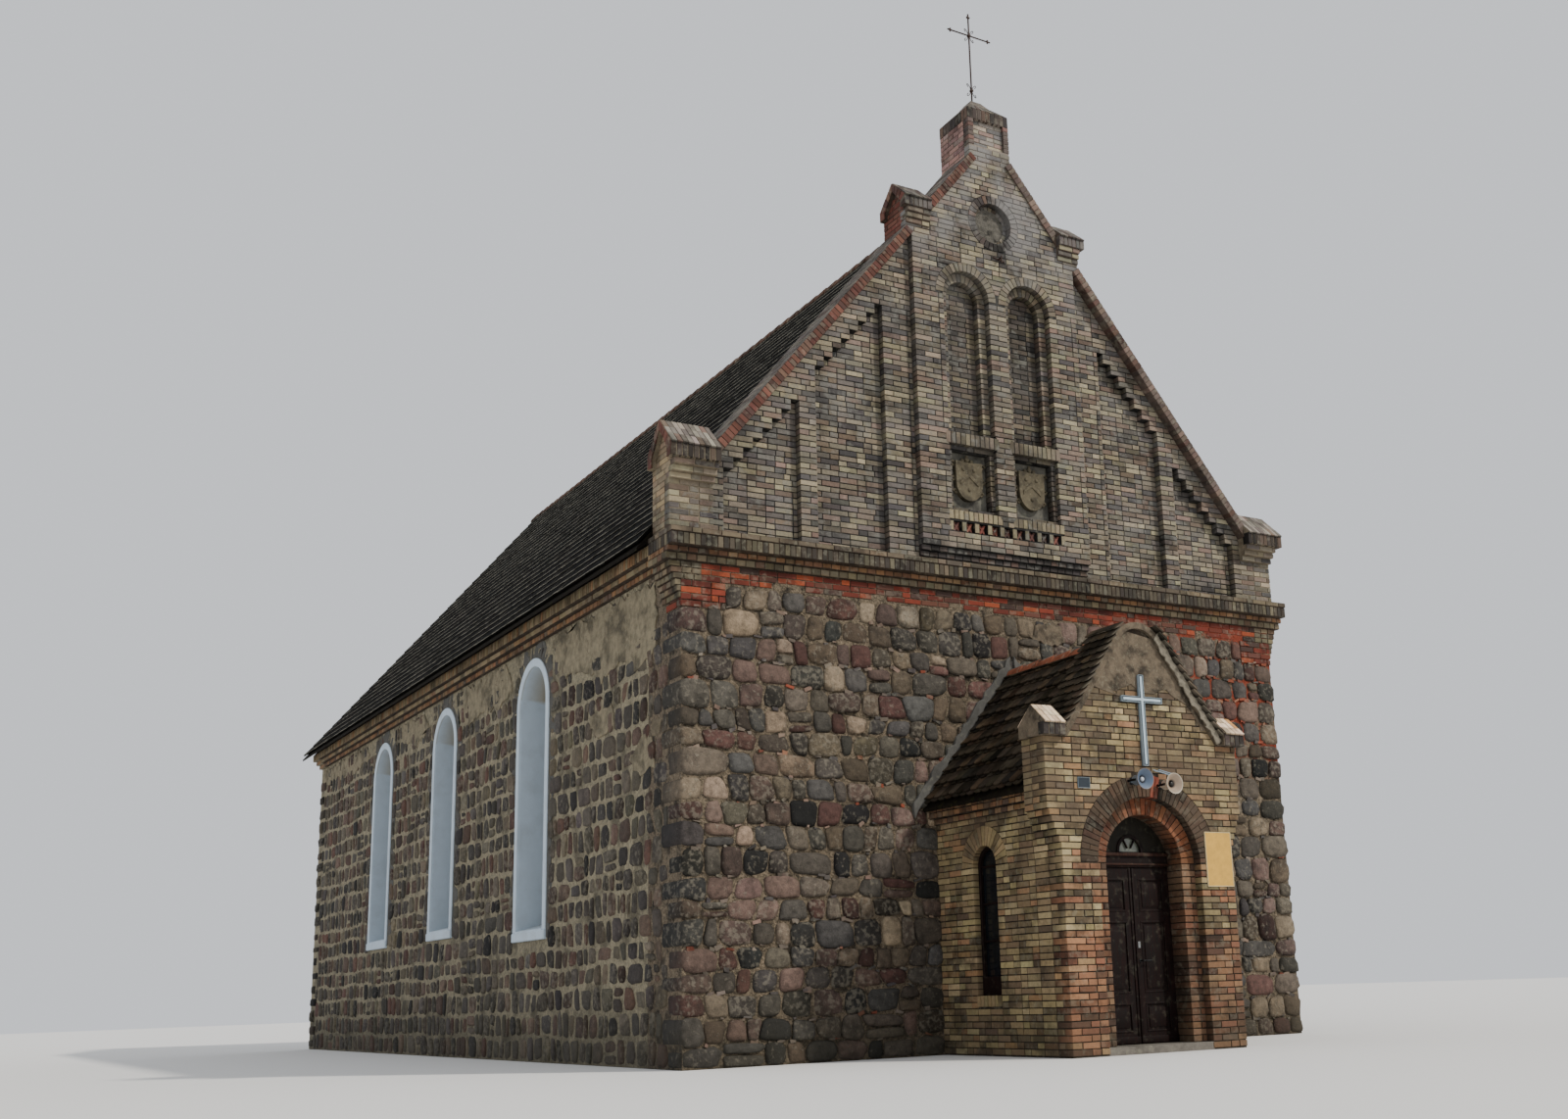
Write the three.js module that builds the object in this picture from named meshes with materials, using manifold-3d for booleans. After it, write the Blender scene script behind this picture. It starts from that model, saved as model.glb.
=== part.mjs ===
// Village church: a nave of fieldstone, a brick west gable and a small brick porch.
// Lengths are in millimetres. The west front is the plane y = 0, the nave runs towards +y and
// the porch stands at -y. x runs to the right along the front, and z is up from the ground.
import * as THREE from "three";
import { mergeVertices } from "three/addons/utils/BufferGeometryUtils.js";
import Module from "manifold-3d";

const wasm = await Module();
wasm.setup();

// Gap that keeps a piece clear of the sloping or curved face that it rests on
const seat = 0.3;
const courseHeight = 77;
// How far a cutting shape reaches past the faces that it cuts
const past = 10;
// How far two shapes of one piece reach into each other
const overlap = 20;
const arcSteps = 16;

// Nave walls of fieldstone
const nave = { halfWidth: 4867, length: 19500, wall: 1000, wallTop: 6000, floorTop: 90 };
const naveWindow = { halfWidth: 580, spring: 5100, glassDepth: 450, glass: 60 };
const naveWindowCentres = [5330, 9880, 14000];
const naveWindowSills = [1800, 2010, 2010];
const eastWindow = { centre: 1750, sill: 2010 };
const naveDoorway = { halfWidth: 650, spring: 1850 };

// Roofs: height at the middle line, fall for each unit of width, and thickness square to the slope
const naveRoof = { ridge: 12470, slope: 1.187, thickness: 90, bearing: 5010, halfWidth: 5240, verge: 19800 };
const porchRoof = { ridge: 4930, slope: 1.25, thickness: 60, bearing: 1425, halfWidth: 1500 };
const eavesEdge = 25;
const ridgeTile = { halfWidth: 150, height: 60, flat: 60 };

// Brick courses under the west gable, each as [height of its underside, how far it stands out]
const frontCornice = { halfWidth: 5080, top: 6380, weathering: 60 };
const frontCorniceCourses = [[6000, 50], [6090, 100], [6160, 200], [6310, 215]];
const cornerCorbel = { count: 6, step: 25 };
const eavesCorniceCourses = [[6000, 60], [6080, 130], [6160, 203]];
const wallHead = { inner: 4567, flat: 6200 };

// West gable
const gable = { thickness: 500, apex: 13060, slope: 1.24, foot: 4430 };
const copingSize = { thickness: 120, front: -150, back: 530 };
const panelSteps = 8;
const panelRise = 2 * courseHeight;
const panelDepth = 120;
const outerPanel = { outer: 4300, inner: 3180, low: 7280 };
const innerPanel = { outer: 2950, inner: 1860, low: 8900 };
const panelSill = 6440;

// Middle bay of the gable, which stands proud of it
const bay = { halfWidth: 1403, foot: 6600, proud: 120 };
const bayCorbels = [[6523, 80], [6446, 40]];
const niche = { centre: 535, halfWidth: 395, sill: 8270, spring: 10325, inset: 120, deeper: 120 };
const shieldNiche = { low: 7130, high: 8100, inset: 70, deeper: 130 };
const shield = { halfWidth: 215, top: 7900, height: 560, relief: 75 };
const check = { count: 9, pitch: 211, width: 135, low: 6840, high: 6980, depth: 70 };
const roundel = { height: 11580, radius: 320, inset: 60, deeper: 60 };

// Gabled caps on piers, measured along the wall, through the wall and up
const eavesCap = { inner: 4430, outer: 5100, pier: 5020, front: -260, ridgeAt: 120, back: 500 };
const eavesCapHeights = { foot: 7265, header: 7440, ridge: 7820, pierFoot: 6380 };
const middleCap = { inner: 1130, outer: 1570, pier: 1500, front: -250, ridgeAt: 100, back: 450 };
const middleCapHeights = { foot: 11480, header: 11620, ridge: 11930, pierFoot: 11130 };
const headerInset = 20;
const capThickness = { slope: 120, end: 110 };
const capCorbel = { count: 3, course: 77 };

// Pinnacle and iron cross at the top of the gable
const pinnacle = { halfWidth: 350, back: 620, corbel: 12600, top: 13210, strip: 75, recess: 50 };
const pinnacleCap = { header: 13380, shoulder: 13550, shoulderHalf: 190, top: 13690, topHalf: 90 };
const ironCross = { bar: 28, top: 15230, armHeight: 14860, armReach: 390 };
const ironCurl = { reach: 120, bar: 14, heights: [14860, 13930] };
const ironFoot = { halfWidth: 38, height: 30 };
const ironTip = { halfWidth: 30, height: 24 };

// Porch
const porch = { halfWidth: 1300, front: -2630, back: -2200, wall: 300, spring: 2180 };
const porchCorniceCourses = [[2850, 50], [2925, 120]];
const porchHead = { inner: 1150, flat: 3000 };
const porchCorbel = { low: 2400, count: 6, step: 30 };
const porchGable = { apexOfLines: 5400, slope: 1.397, coping: 80, round: 418, roundCentre: 4682 };
const porchCoping = { front: -2680, back: -2150, low: 3630 };
const porchCap = { inner: 1250, outer: 1550, front: -2760, ridgeAt: -2500, back: -2240 };
const porchCapHeights = { header: 3780, ridge: 4010 };
const porchWindow = { centre: -1050, halfWidth: 260, spring: 2250, sill: 700, depth: 120, glass: 50 };

// Doorway in the porch: an outer brick order, an inner one, and the rebate for the wooden frame
const doorway = { outer: 790, inner: 590, rebate: 660, outerDepth: 120, frameDepth: 50 };
const transom = { low: 2160, high: 2330, proud: 25, endGap: 5 };
const fanlight = { radius: 190, low: 2340, front: -2232, back: -2216 };
const leaf = { hingeGap: 6, middleGap: 6.5, floorGap: 6, top: 2150, panelDepth: 12 };
const leafPanels = [[0.0, 0.19], [0.25, 0.72], [0.78, 1.0]];
const leafFrame = { stile: 95, rail: 130 };
// Each hinge is a knuckle on the leaf that sits on a pintle of the frame, behind both of them
const hinge = { fromJamb: 3, behind: 14, radius: 9, sides: 12, height: 50, strap: 70, thick: 9 };
const hingeHeights = [420, 1180, 1900];

// Fittings on the front of the porch
const porchCross = { low: 3330, high: 4440, arm: 4135, reach: 310, bar: 70, depth: 60 };
const speakers = [["speaker_left", -210, 3140], ["speaker_right", 240, 3100]];
// A horn's outline as [radius, distance in front of the wall], from its throat round to the wall
const speakerProfile = [[0, 190], [96, 270], [106, 270], [58, 160], [58, 80], [26, 70], [26, 0], [0, 0]];
const speakerSides = 16;

// Lines of the roofs and copings at a distance x from the middle
const slant = (slope, thickness) => thickness * Math.hypot(1, slope);
const roofTop = (roof, x) => roof.ridge - roof.slope * x;
const roofUnder = (roof, x) => roofTop(roof, x) - slant(roof.slope, roof.thickness);
const gableTop = (x) => gable.apex - gable.slope * x;
const gableUnder = (x) => gableTop(x) - slant(gable.slope, copingSize.thickness);

// Outlines are lists of [first, second] points in the plane that they are drawn in
const mirrored = (points) => points.map(([x, z]) => [-x, z]).reverse();
const sideOf = (points, side) => (side > 0 ? points : mirrored(points));
const bothSides = (rightHalf) => [...rightHalf, ...mirrored(rightHalf)];

function rectangle(left, right, low, high) {
  return [[left, low], [right, low], [right, high], [left, high]];
}

function arc(centre, height, radius, from, to) {
  const points = [];
  for (let i = 0; i <= arcSteps; i++) {
    const angle = from + ((to - from) * i) / arcSteps;
    points.push([centre + radius * Math.cos(angle), height + radius * Math.sin(angle)]);
  }
  return points;
}

function roundHeaded(centre, halfWidth, low, spring) {
  const foot = [[centre - halfWidth, low], [centre + halfWidth, low]];
  return [...foot, ...arc(centre, spring, halfWidth, 0, Math.PI)];
}

function circle(centre, height, radius) {
  return arc(centre, height, radius, 0, 2 * Math.PI).slice(1);
}

// Courses that step out from a face, from the lowest to the highest
function steppedOut(face, courses, top) {
  const points = [];
  courses.forEach(([low, proud], i) => {
    const high = i + 1 < courses.length ? courses[i + 1][0] : top;
    points.push([face + proud, low], [face + proud, high]);
  });
  return points;
}

// Solids from outlines: along x from a y-z outline, along y from an x-z outline, along z from x-y
const X = new THREE.Vector3(1, 0, 0);
const Y = new THREE.Vector3(0, 1, 0);
const Z = new THREE.Vector3(0, 0, 1);

function extruded(outline, holes, length) {
  const shape = new THREE.Shape(outline.map(([a, b]) => new THREE.Vector2(a, b)));
  for (const hole of holes) {
    shape.holes.push(new THREE.Path(hole.map(([a, b]) => new THREE.Vector2(a, b))));
  }
  return new THREE.ExtrudeGeometry(shape, { depth: length, bevelEnabled: false });
}

function alongX(outline, from, to) {
  const turned = new THREE.Matrix4().makeBasis(Y, Z, X);
  return extruded(outline, [], to - from).applyMatrix4(turned).translate(from, 0, 0);
}

function alongY(outline, from, to, holes = []) {
  const turned = new THREE.Matrix4().makeBasis(X, Z, Y.clone().negate());
  return extruded(outline, holes, to - from).applyMatrix4(turned).translate(0, to, 0);
}

function alongZ(outline, from, to) {
  return extruded(outline, [], to - from).translate(0, 0, from);
}

function block(x, y, z) {
  return alongZ(rectangle(x[0], x[1], y[0], y[1]), z[0], z[1]);
}

// Joins and cuts
function solidOf(geometry) {
  const bare = geometry.clone();
  bare.deleteAttribute("normal");
  bare.deleteAttribute("uv");
  const merged = mergeVertices(bare, 1e-3);
  return new wasm.Manifold(
    new wasm.Mesh({
      numProp: 3,
      vertProperties: new Float32Array(merged.attributes.position.array),
      triVerts: new Uint32Array(merged.index.array),
    }),
  );
}

function geometryOf(solid) {
  const mesh = solid.getMesh();
  const geometry = new THREE.BufferGeometry();
  geometry.setAttribute("position", new THREE.BufferAttribute(mesh.vertProperties, 3));
  geometry.setIndex(new THREE.BufferAttribute(mesh.triVerts, 1));
  geometry.computeVertexNormals();
  return geometry;
}

function shaped(base, added, removed) {
  let solid = solidOf(base);
  for (const geometry of added) {
    solid = solid.add(solidOf(geometry));
  }
  for (const geometry of removed) {
    solid = solid.subtract(solidOf(geometry));
  }
  return geometryOf(solid);
}

// Finishes
const finish = (color, roughness, metalness) => () =>
  new THREE.MeshStandardMaterial({ color, roughness, metalness });
const granite = finish(0x7d6f68, 0.95, 0);
const paleBrick = finish(0x8f8062, 0.95, 0);
const redBrick = finish(0x8c4636, 0.9, 0);
const orangeBrick = finish(0xa0663c, 0.9, 0);
const plainTile = finish(0x463b33, 0.85, 0);
const render = finish(0x8d8577, 0.95, 0);
const darkWood = finish(0x33211b, 0.5, 0);
const windowGlass = finish(0x28303a, 0.15, 0);
const floorStone = finish(0x77716a, 0.9, 0);
const rustyIron = finish(0x4a3a33, 0.8, 0.6);
const whitePaint = finish(0xe6e8ea, 0.35, 0.1);
const greyPlastic = finish(0x9aa3a8, 0.5, 0);

const building = new THREE.Group();

function add(name, geometry, material) {
  const mesh = new THREE.Mesh(geometry, material());
  mesh.name = name;
  building.add(mesh);
}

// West front: a wall on each side of the doorway to the nave, and the wall over it
function addFrontWalls() {
  const { halfWidth, wall, wallTop } = nave;
  for (const [name, side] of [["front_wall_left", -1], ["front_wall_right", 1]]) {
    const outline = rectangle(naveDoorway.halfWidth, halfWidth, 0, wallTop);
    add(name, alongY(sideOf(outline, side), 0, wall), granite);
  }
  const arch = arc(0, naveDoorway.spring, naveDoorway.halfWidth, Math.PI, 0);
  const above = [[naveDoorway.halfWidth, wallTop], [-naveDoorway.halfWidth, wallTop], ...arch];
  add("front_wall_over_doorway", alongY(above, 0, wall), granite);
}

// Long walls with three windows each
function addSideWalls() {
  const outline = rectangle(nave.wall, nave.length - nave.wall, 0, nave.wallTop);
  const inner = nave.halfWidth - nave.wall;
  for (const [word, side] of [["left", -1], ["right", 1]]) {
    const range = side > 0 ? [inner, nave.halfWidth] : [-nave.halfWidth, -inner];
    const holes = naveWindowCentres.map((centre, i) => {
      const opening = roundHeaded(centre, naveWindow.halfWidth, naveWindowSills[i], naveWindow.spring);
      return alongX(opening, range[0] - past, range[1] + past);
    });
    add(`nave_${word}_wall`, shaped(alongX(outline, range[0], range[1]), [], holes), granite);
  }
}

// East wall with two windows, and the gable that stands on its outer half
function addEastEnd() {
  const back = nave.length - nave.wall;
  const outline = rectangle(-nave.halfWidth, nave.halfWidth, 0, nave.wallTop);
  const holes = [-eastWindow.centre, eastWindow.centre].map((centre) => {
    const opening = roundHeaded(centre, naveWindow.halfWidth, eastWindow.sill, naveWindow.spring);
    return alongY(opening, back - past, nave.length + past);
  });
  add("east_wall", shaped(alongY(outline, back, nave.length), [], holes), granite);

  const lastCourse = eavesCorniceCourses.at(-1);
  const edge = nave.halfWidth + lastCourse[1];
  const edgeTop = roofUnder(naveRoof, edge) - seat;
  const half = steppedOut(nave.halfWidth, eavesCorniceCourses, edgeTop);
  const outlineAbove = [...half, [0, roofUnder(naveRoof, 0) - seat], ...mirrored(half)];
  add("east_gable", alongY(outlineAbove, nave.length - gable.thickness, nave.length), granite);
}

function addNaveFloor() {
  const inner = nave.halfWidth - nave.wall;
  const right = [[naveDoorway.halfWidth, 0], [naveDoorway.halfWidth, nave.wall], [inner, nave.wall]];
  const outline = bothSides([...right, [inner, nave.length - nave.wall]]);
  add("nave_floor", alongZ(outline, 0, nave.floorTop), floorStone);
}

// Glazed panels set back in the reveals
function addNaveWindows() {
  const { halfWidth, spring, glassDepth, glass } = naveWindow;
  const pane = (centre, sill) => roundHeaded(centre, halfWidth - seat, sill + seat, spring);
  const outer = nave.halfWidth - glassDepth;
  naveWindowCentres.forEach((centre, i) => {
    const outline = pane(centre, naveWindowSills[i]);
    add(`nave_left_window_${i + 1}`, alongX(outline, -outer, glass - outer), windowGlass);
    add(`nave_right_window_${i + 1}`, alongX(outline, outer - glass, outer), windowGlass);
  });
  const back = nave.length - glassDepth;
  for (const [name, side] of [["east_left_window", -1], ["east_right_window", 1]]) {
    const outline = pane(side * eastWindow.centre, eastWindow.sill);
    add(name, alongY(outline, back - glass, back), windowGlass);
  }
}

// Brick courses across the west front, with the stepped corbels under their ends
function addFrontCornice() {
  const face = steppedOut(0, frontCorniceCourses, frontCornice.top).map(([y, z]) => [-y, z]);
  const top = [[0, frontCornice.top + frontCornice.weathering], [0, frontCornice.top]];
  const back = [[gable.thickness, frontCornice.top], [gable.thickness, nave.wallTop]];
  const band = alongX([...face, ...top, ...back], -frontCornice.halfWidth, frontCornice.halfWidth);

  const corbels = [];
  for (const side of [-1, 1]) {
    for (let i = 1; i <= cornerCorbel.count; i++) {
      const out = nave.halfWidth + (cornerCorbel.count + 1 - i) * cornerCorbel.step;
      const low = nave.wallTop - i * courseHeight;
      const step = sideOf(rectangle(nave.halfWidth, out, low, nave.wallTop + courseHeight / 2), side);
      corbels.push(alongY(step, 0, gable.thickness));
    }
  }
  add("front_cornice", shaped(band, corbels, []), orangeBrick);
}

// Brick courses under the eaves, with the wall head that carries the roof
function addEavesCornices() {
  const lastCourse = eavesCorniceCourses.at(-1);
  const edge = nave.halfWidth + lastCourse[1];
  const inside = nave.halfWidth - nave.wall;
  const edgeTop = roofUnder(naveRoof, edge) - seat;
  const outline = [
    ...steppedOut(nave.halfWidth, eavesCorniceCourses, edgeTop),
    [wallHead.inner, roofUnder(naveRoof, wallHead.inner) - seat],
    [wallHead.inner, wallHead.flat],
    [inside, wallHead.flat],
    [inside, nave.wallTop],
  ];
  for (const [name, side] of [["eaves_cornice_left", -1], ["eaves_cornice_right", 1]]) {
    const run = alongY(sideOf(outline, side), gable.thickness, nave.length - gable.thickness);
    add(name, run, orangeBrick);
  }
}

// A panel whose head climbs in steps towards the middle of the gable
function steppedPanel(panel) {
  const run = (panel.outer - panel.inner) / panelSteps;
  const points = [[panel.inner, panelSill], [panel.outer, panelSill]];
  for (let i = 0; i < panelSteps; i++) {
    const height = panel.low + i * panelRise;
    points.push([panel.outer - i * run, height], [panel.outer - (i + 1) * run, height]);
  }
  return points;
}

function shieldOutline(centre) {
  const { halfWidth, top, height } = shield;
  const points = [];
  for (let i = 0; i <= arcSteps; i++) {
    const share = i / arcSteps;
    points.push([halfWidth * Math.sqrt(1 - share ** 3), top - height * share]);
  }
  return bothSides(points).map(([x, z]) => [x + centre, z]);
}

// The wall of the west gable, with its sunk panels, the backs of the niches and two plain shields
function addGableWall() {
  const { thickness, foot } = gable;
  const right = [
    [foot, frontCornice.top],
    [foot, gableUnder(foot)],
    [middleCap.pier, gableUnder(middleCap.pier)],
    [middleCap.pier, middleCapHeights.pierFoot],
    [middleCap.inner, middleCapHeights.pierFoot],
    [middleCap.inner, gableUnder(middleCap.inner)],
    [pinnacle.halfWidth, gableUnder(pinnacle.halfWidth)],
  ];
  const removed = [];
  const added = [];
  for (const side of [-1, 1]) {
    for (const panel of [outerPanel, innerPanel]) {
      removed.push(alongY(sideOf(steppedPanel(panel), side), -past, panelDepth));
    }
    const centre = side * niche.centre;
    const inner = niche.halfWidth - niche.inset;
    removed.push(alongY(roundHeaded(centre, inner, niche.sill, niche.spring), -past, niche.deeper));
    const back = niche.halfWidth - shieldNiche.inset;
    const low = shieldNiche.low + shieldNiche.inset;
    const high = shieldNiche.high - shieldNiche.inset;
    const recess = rectangle(centre - back, centre + back, low, high);
    removed.push(alongY(recess, -past, shieldNiche.deeper));
    const front = shieldNiche.deeper - shield.relief;
    added.push(alongY(shieldOutline(centre), front, shieldNiche.deeper + overlap));
  }
  const disc = circle(0, roundel.height, roundel.radius - roundel.inset);
  removed.push(alongY(disc, -past, roundel.deeper));
  const cut = shaped(alongY(bothSides(right), 0, thickness), [], removed);
  add("gable_wall", shaped(cut, added, []), paleBrick);
}

// The middle bay stands on corbelled courses and holds two niches, two shield niches,
// a row of sunk checks and a roundel
function addMiddleBay() {
  const right = [
    [bay.halfWidth, bay.foot],
    [bay.halfWidth, middleCapHeights.pierFoot],
    [middleCap.inner, middleCapHeights.pierFoot],
    [middleCap.inner, gableUnder(middleCap.inner)],
    [pinnacle.halfWidth, gableUnder(pinnacle.halfWidth)],
  ];
  const plate = alongY(bothSides(right), -bay.proud, 0);
  const corbels = bayCorbels.map(([low, proud]) =>
    block([-bay.halfWidth, bay.halfWidth], [-proud, 0], [low, low + courseHeight + overlap]),
  );
  const removed = [];
  const front = -bay.proud - past;
  for (const side of [-1, 1]) {
    const centre = side * niche.centre;
    const half = niche.halfWidth;
    removed.push(alongY(roundHeaded(centre, half, niche.sill, niche.spring), front, past));
    const recess = rectangle(centre - half, centre + half, shieldNiche.low, shieldNiche.high);
    removed.push(alongY(recess, front, past));
  }
  for (let i = 0; i < check.count; i++) {
    const left = (i - (check.count - 1) / 2) * check.pitch - check.width / 2;
    const outline = rectangle(left, left + check.width, check.low, check.high);
    removed.push(alongY(outline, front, check.depth - bay.proud));
  }
  removed.push(alongY(circle(0, roundel.height, roundel.radius), front, past));
  add("middle_bay", shaped(plate, corbels, removed), paleBrick);
}

// A cap with a row of headers and a small brick roof whose ridge runs along x
function gabledCap(cap, heights) {
  return [
    [cap.back, heights.foot],
    [cap.back, heights.header],
    [cap.ridgeAt, heights.ridge],
    [cap.front, heights.header],
    [cap.front + headerInset, heights.header],
    [cap.front + headerInset, heights.foot],
  ];
}

// What is open under the end of a cap that stands out past its pier
function underCapEnd(cap, heights) {
  const near = cap.front + headerInset + capThickness.end;
  const far = cap.back - capThickness.end;
  return [
    [near, heights.foot - past],
    [far, heights.foot - past],
    [far, heights.header - capThickness.slope / 2],
    [cap.ridgeAt, heights.ridge - capThickness.slope],
    [near, heights.header - capThickness.slope / 2],
  ];
}

// The pier under a cap, with the courses that step forward to carry the headers
function pierWithCap(side, cap, heights, pierFront) {
  const across = (low, high) => (side > 0 ? [low, high] : [-high, -low]);
  const top = alongX(gabledCap(cap, heights), ...across(cap.inner, cap.outer));
  const open = alongX(underCapEnd(cap, heights), ...across(cap.pier, cap.outer + past));
  const outline = sideOf(rectangle(cap.inner, cap.pier, heights.pierFoot, heights.foot + overlap), side);
  const pier = alongY(outline, pierFront, cap.back);
  const reach = pierFront - (cap.front + headerInset);
  const corbels = [];
  for (let i = 1; i <= capCorbel.count; i++) {
    const low = heights.foot - i * capCorbel.course;
    const front = pierFront - (reach * (capCorbel.count + 1 - i)) / (capCorbel.count + 1);
    const rise = [low, low + capCorbel.course + overlap];
    corbels.push(block(across(cap.inner, cap.pier), [front, pierFront + overlap], rise));
  }
  return shaped(top, [pier, ...corbels], [open]);
}

function addKneelers() {
  for (const [word, side] of [["left", -1], ["right", 1]]) {
    const eaves = pierWithCap(side, eavesCap, eavesCapHeights, 0);
    add(`eaves_kneeler_${word}`, eaves, paleBrick);
    const middle = pierWithCap(side, middleCap, middleCapHeights, -bay.proud);
    add(`middle_kneeler_${word}`, middle, redBrick);
  }
}

// Brick on edge along the slopes of the gable
function addGableCopings() {
  const strips = [
    ["lower_coping", gable.foot, middleCap.pier],
    ["upper_coping", middleCap.inner, pinnacle.halfWidth],
  ];
  for (const [name, low, high] of strips) {
    const outline = [
      [low, gableUnder(low) + seat],
      [low, gableTop(low)],
      [high, gableTop(high)],
      [high, gableUnder(high) + seat],
    ];
    for (const [word, side] of [["left", -1], ["right", 1]]) {
      const strip = alongY(sideOf(outline, side), copingSize.front, copingSize.back);
      add(`${name}_${word}`, strip, redBrick);
    }
  }
}

function addPinnacle() {
  const { halfWidth, back, corbel, top, strip, recess } = pinnacle;
  const { header, shoulder, shoulderHalf, top: capTop, topHalf } = pinnacleCap;
  const front = -bay.proud;
  const body = [
    [front, gableUnder(halfWidth)],
    [gable.thickness, gableUnder(halfWidth)],
    [gable.thickness, corbel],
    [back, corbel],
    [back, top + overlap],
    [front, top + overlap],
  ];
  const middle = (front + back) / 2;
  const cap = [
    [front, top],
    [back, top],
    [back, header],
    [middle + shoulderHalf, shoulder],
    [middle + topHalf, capTop],
    [middle - topHalf, capTop],
    [middle - shoulderHalf, shoulder],
    [front, header],
  ];
  const beside = [
    [halfWidth + past, header],
    [halfWidth + past, capTop + past],
    [topHalf, capTop + past],
    [topHalf, capTop],
    [shoulderHalf, shoulder],
    [halfWidth, header],
  ];
  const sunk = rectangle(strip - halfWidth, halfWidth - strip, gableUnder(halfWidth) + halfWidth, top);
  const removed = [alongY(sunk, front - past, front + recess)];
  for (const side of [-1, 1]) {
    removed.push(alongY(sideOf(beside, side), front - past, back + past));
  }
  const capSolid = alongX(cap, -halfWidth, halfWidth);
  add("pinnacle", shaped(alongX(body, -halfWidth, halfWidth), [capSolid], removed), redBrick);
}

// Wrought iron cross with small curls at the crossing and near its foot
function addIronCross() {
  const { bar, top, armHeight, armReach } = ironCross;
  const middle = (pinnacle.back - bay.proud) / 2;
  const half = bar / 2;
  const deep = [middle - half, middle + half];
  const post = block([-half, half], deep, [pinnacleCap.top, top]);
  const footWide = [middle - ironFoot.halfWidth, middle + ironFoot.halfWidth];
  const footHigh = [pinnacleCap.top, pinnacleCap.top + ironFoot.height];
  const tip = ironTip.halfWidth;
  const tipHigh = [top - 3 * ironTip.height, top - 2 * ironTip.height];
  const added = [
    block([-armReach, armReach], deep, [armHeight - half, armHeight + half]),
    block([-ironFoot.halfWidth, ironFoot.halfWidth], footWide, footHigh),
    block([-tip, tip], deep, tipHigh),
  ];
  for (const side of [-1, 1]) {
    const at = side * (armReach - 2.5 * ironTip.height);
    const wide = [at - ironTip.height / 2, at + ironTip.height / 2];
    added.push(block(wide, deep, [armHeight - tip, armHeight + tip]));
  }
  for (const height of ironCurl.heights) {
    for (const turn of [Math.PI / 4, -Math.PI / 4]) {
      const curl = new THREE.BoxGeometry(2 * ironCurl.reach, ironCurl.bar, ironCurl.bar);
      added.push(curl.rotateY(turn).translate(0, middle, height));
    }
  }
  add("iron_cross", shaped(post, added, []), rustyIron);
}

// One slope of a roof: full thickness as far as the wall, and thin where the tiles stand out past it
function roofSlab(roof, from, to) {
  const outline = [
    [0, roofUnder(roof, 0)],
    [roof.bearing, roofUnder(roof, roof.bearing)],
    [roof.halfWidth, roofTop(roof, roof.halfWidth) - slant(roof.slope, eavesEdge)],
    [roof.halfWidth, roofTop(roof, roof.halfWidth)],
    [0, roofTop(roof, 0)],
  ];
  return (side) => alongY(sideOf(outline, side), from, to);
}

function ridgeOutline(roof) {
  const { halfWidth, height, flat } = ridgeTile;
  const low = roofTop(roof, halfWidth) + seat;
  const right = [[halfWidth, low], [halfWidth, low + height], [flat, roof.ridge + height]];
  return [...right, ...mirrored(right), [0, roof.ridge + seat]];
}

function addRoofs() {
  const naveSlab = roofSlab(naveRoof, gable.thickness, naveRoof.verge);
  add("nave_roof_left", naveSlab(-1), plainTile);
  add("nave_roof_right", naveSlab(1), plainTile);
  add("nave_ridge", alongY(ridgeOutline(naveRoof), gable.thickness, naveRoof.verge), plainTile);
  const porchSlab = roofSlab(porchRoof, porch.back, 0);
  add("porch_roof_left", porchSlab(-1), plainTile);
  add("porch_roof_right", porchSlab(1), plainTile);
  add("porch_ridge", alongY(ridgeOutline(porchRoof), porch.back, 0), orangeBrick);
}

// Side walls of the porch with a narrow window and a corbelled head under the roof
function addPorchWalls() {
  const lastCourse = porchCorniceCourses.at(-1);
  const edge = porch.halfWidth + lastCourse[1];
  const inside = porch.halfWidth - porch.wall;
  const section = [
    [inside, 0],
    [porch.halfWidth, 0],
    [porch.halfWidth, porchCorniceCourses[0][0]],
    ...steppedOut(porch.halfWidth, porchCorniceCourses, roofUnder(porchRoof, edge) - seat),
    [porchHead.inner, roofUnder(porchRoof, porchHead.inner) - seat],
    [porchHead.inner, porchHead.flat],
    [inside, porchHead.flat],
  ];
  const { centre, halfWidth, sill, spring, depth, glass } = porchWindow;
  for (const [word, side] of [["left", -1], ["right", 1]]) {
    const wall = alongY(sideOf(section, side), porch.back, 0);
    const range = side > 0 ? [inside - past, edge] : [-edge, past - inside];
    const hole = alongX(roundHeaded(centre, halfWidth, sill, spring), range[0], range[1]);
    add(`porch_${word}_wall`, shaped(wall, [], [hole]), paleBrick);

    const outer = porch.halfWidth - depth;
    const paneRange = side > 0 ? [outer - glass, outer] : [-outer, glass - outer];
    const pane = roundHeaded(centre, halfWidth - seat, sill + seat, spring);
    add(`porch_${word}_window`, alongX(pane, paneRange[0], paneRange[1]), windowGlass);
  }
}

// Plan of the doorway's right jamb, from the front to the back of the porch wall
function jambPlan() {
  const shoulder = porch.front + doorway.outerDepth;
  const frameFront = porch.back - doorway.frameDepth;
  return [
    [doorway.outer, porch.front],
    [doorway.outer, shoulder],
    [doorway.inner, shoulder],
    [doorway.inner, frameFront],
    [doorway.rebate, frameFront],
    [doorway.rebate, porch.back],
  ];
}

function addPorchPiers() {
  const outer = [[porch.halfWidth, porch.back], [porch.halfWidth, porch.front]];
  const plan = [...jambPlan(), ...outer];
  add("porch_left_pier", alongZ(mirrored(plan), 0, porch.spring), paleBrick);
  add("porch_right_pier", alongZ(plan, 0, porch.spring), paleBrick);
}

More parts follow.
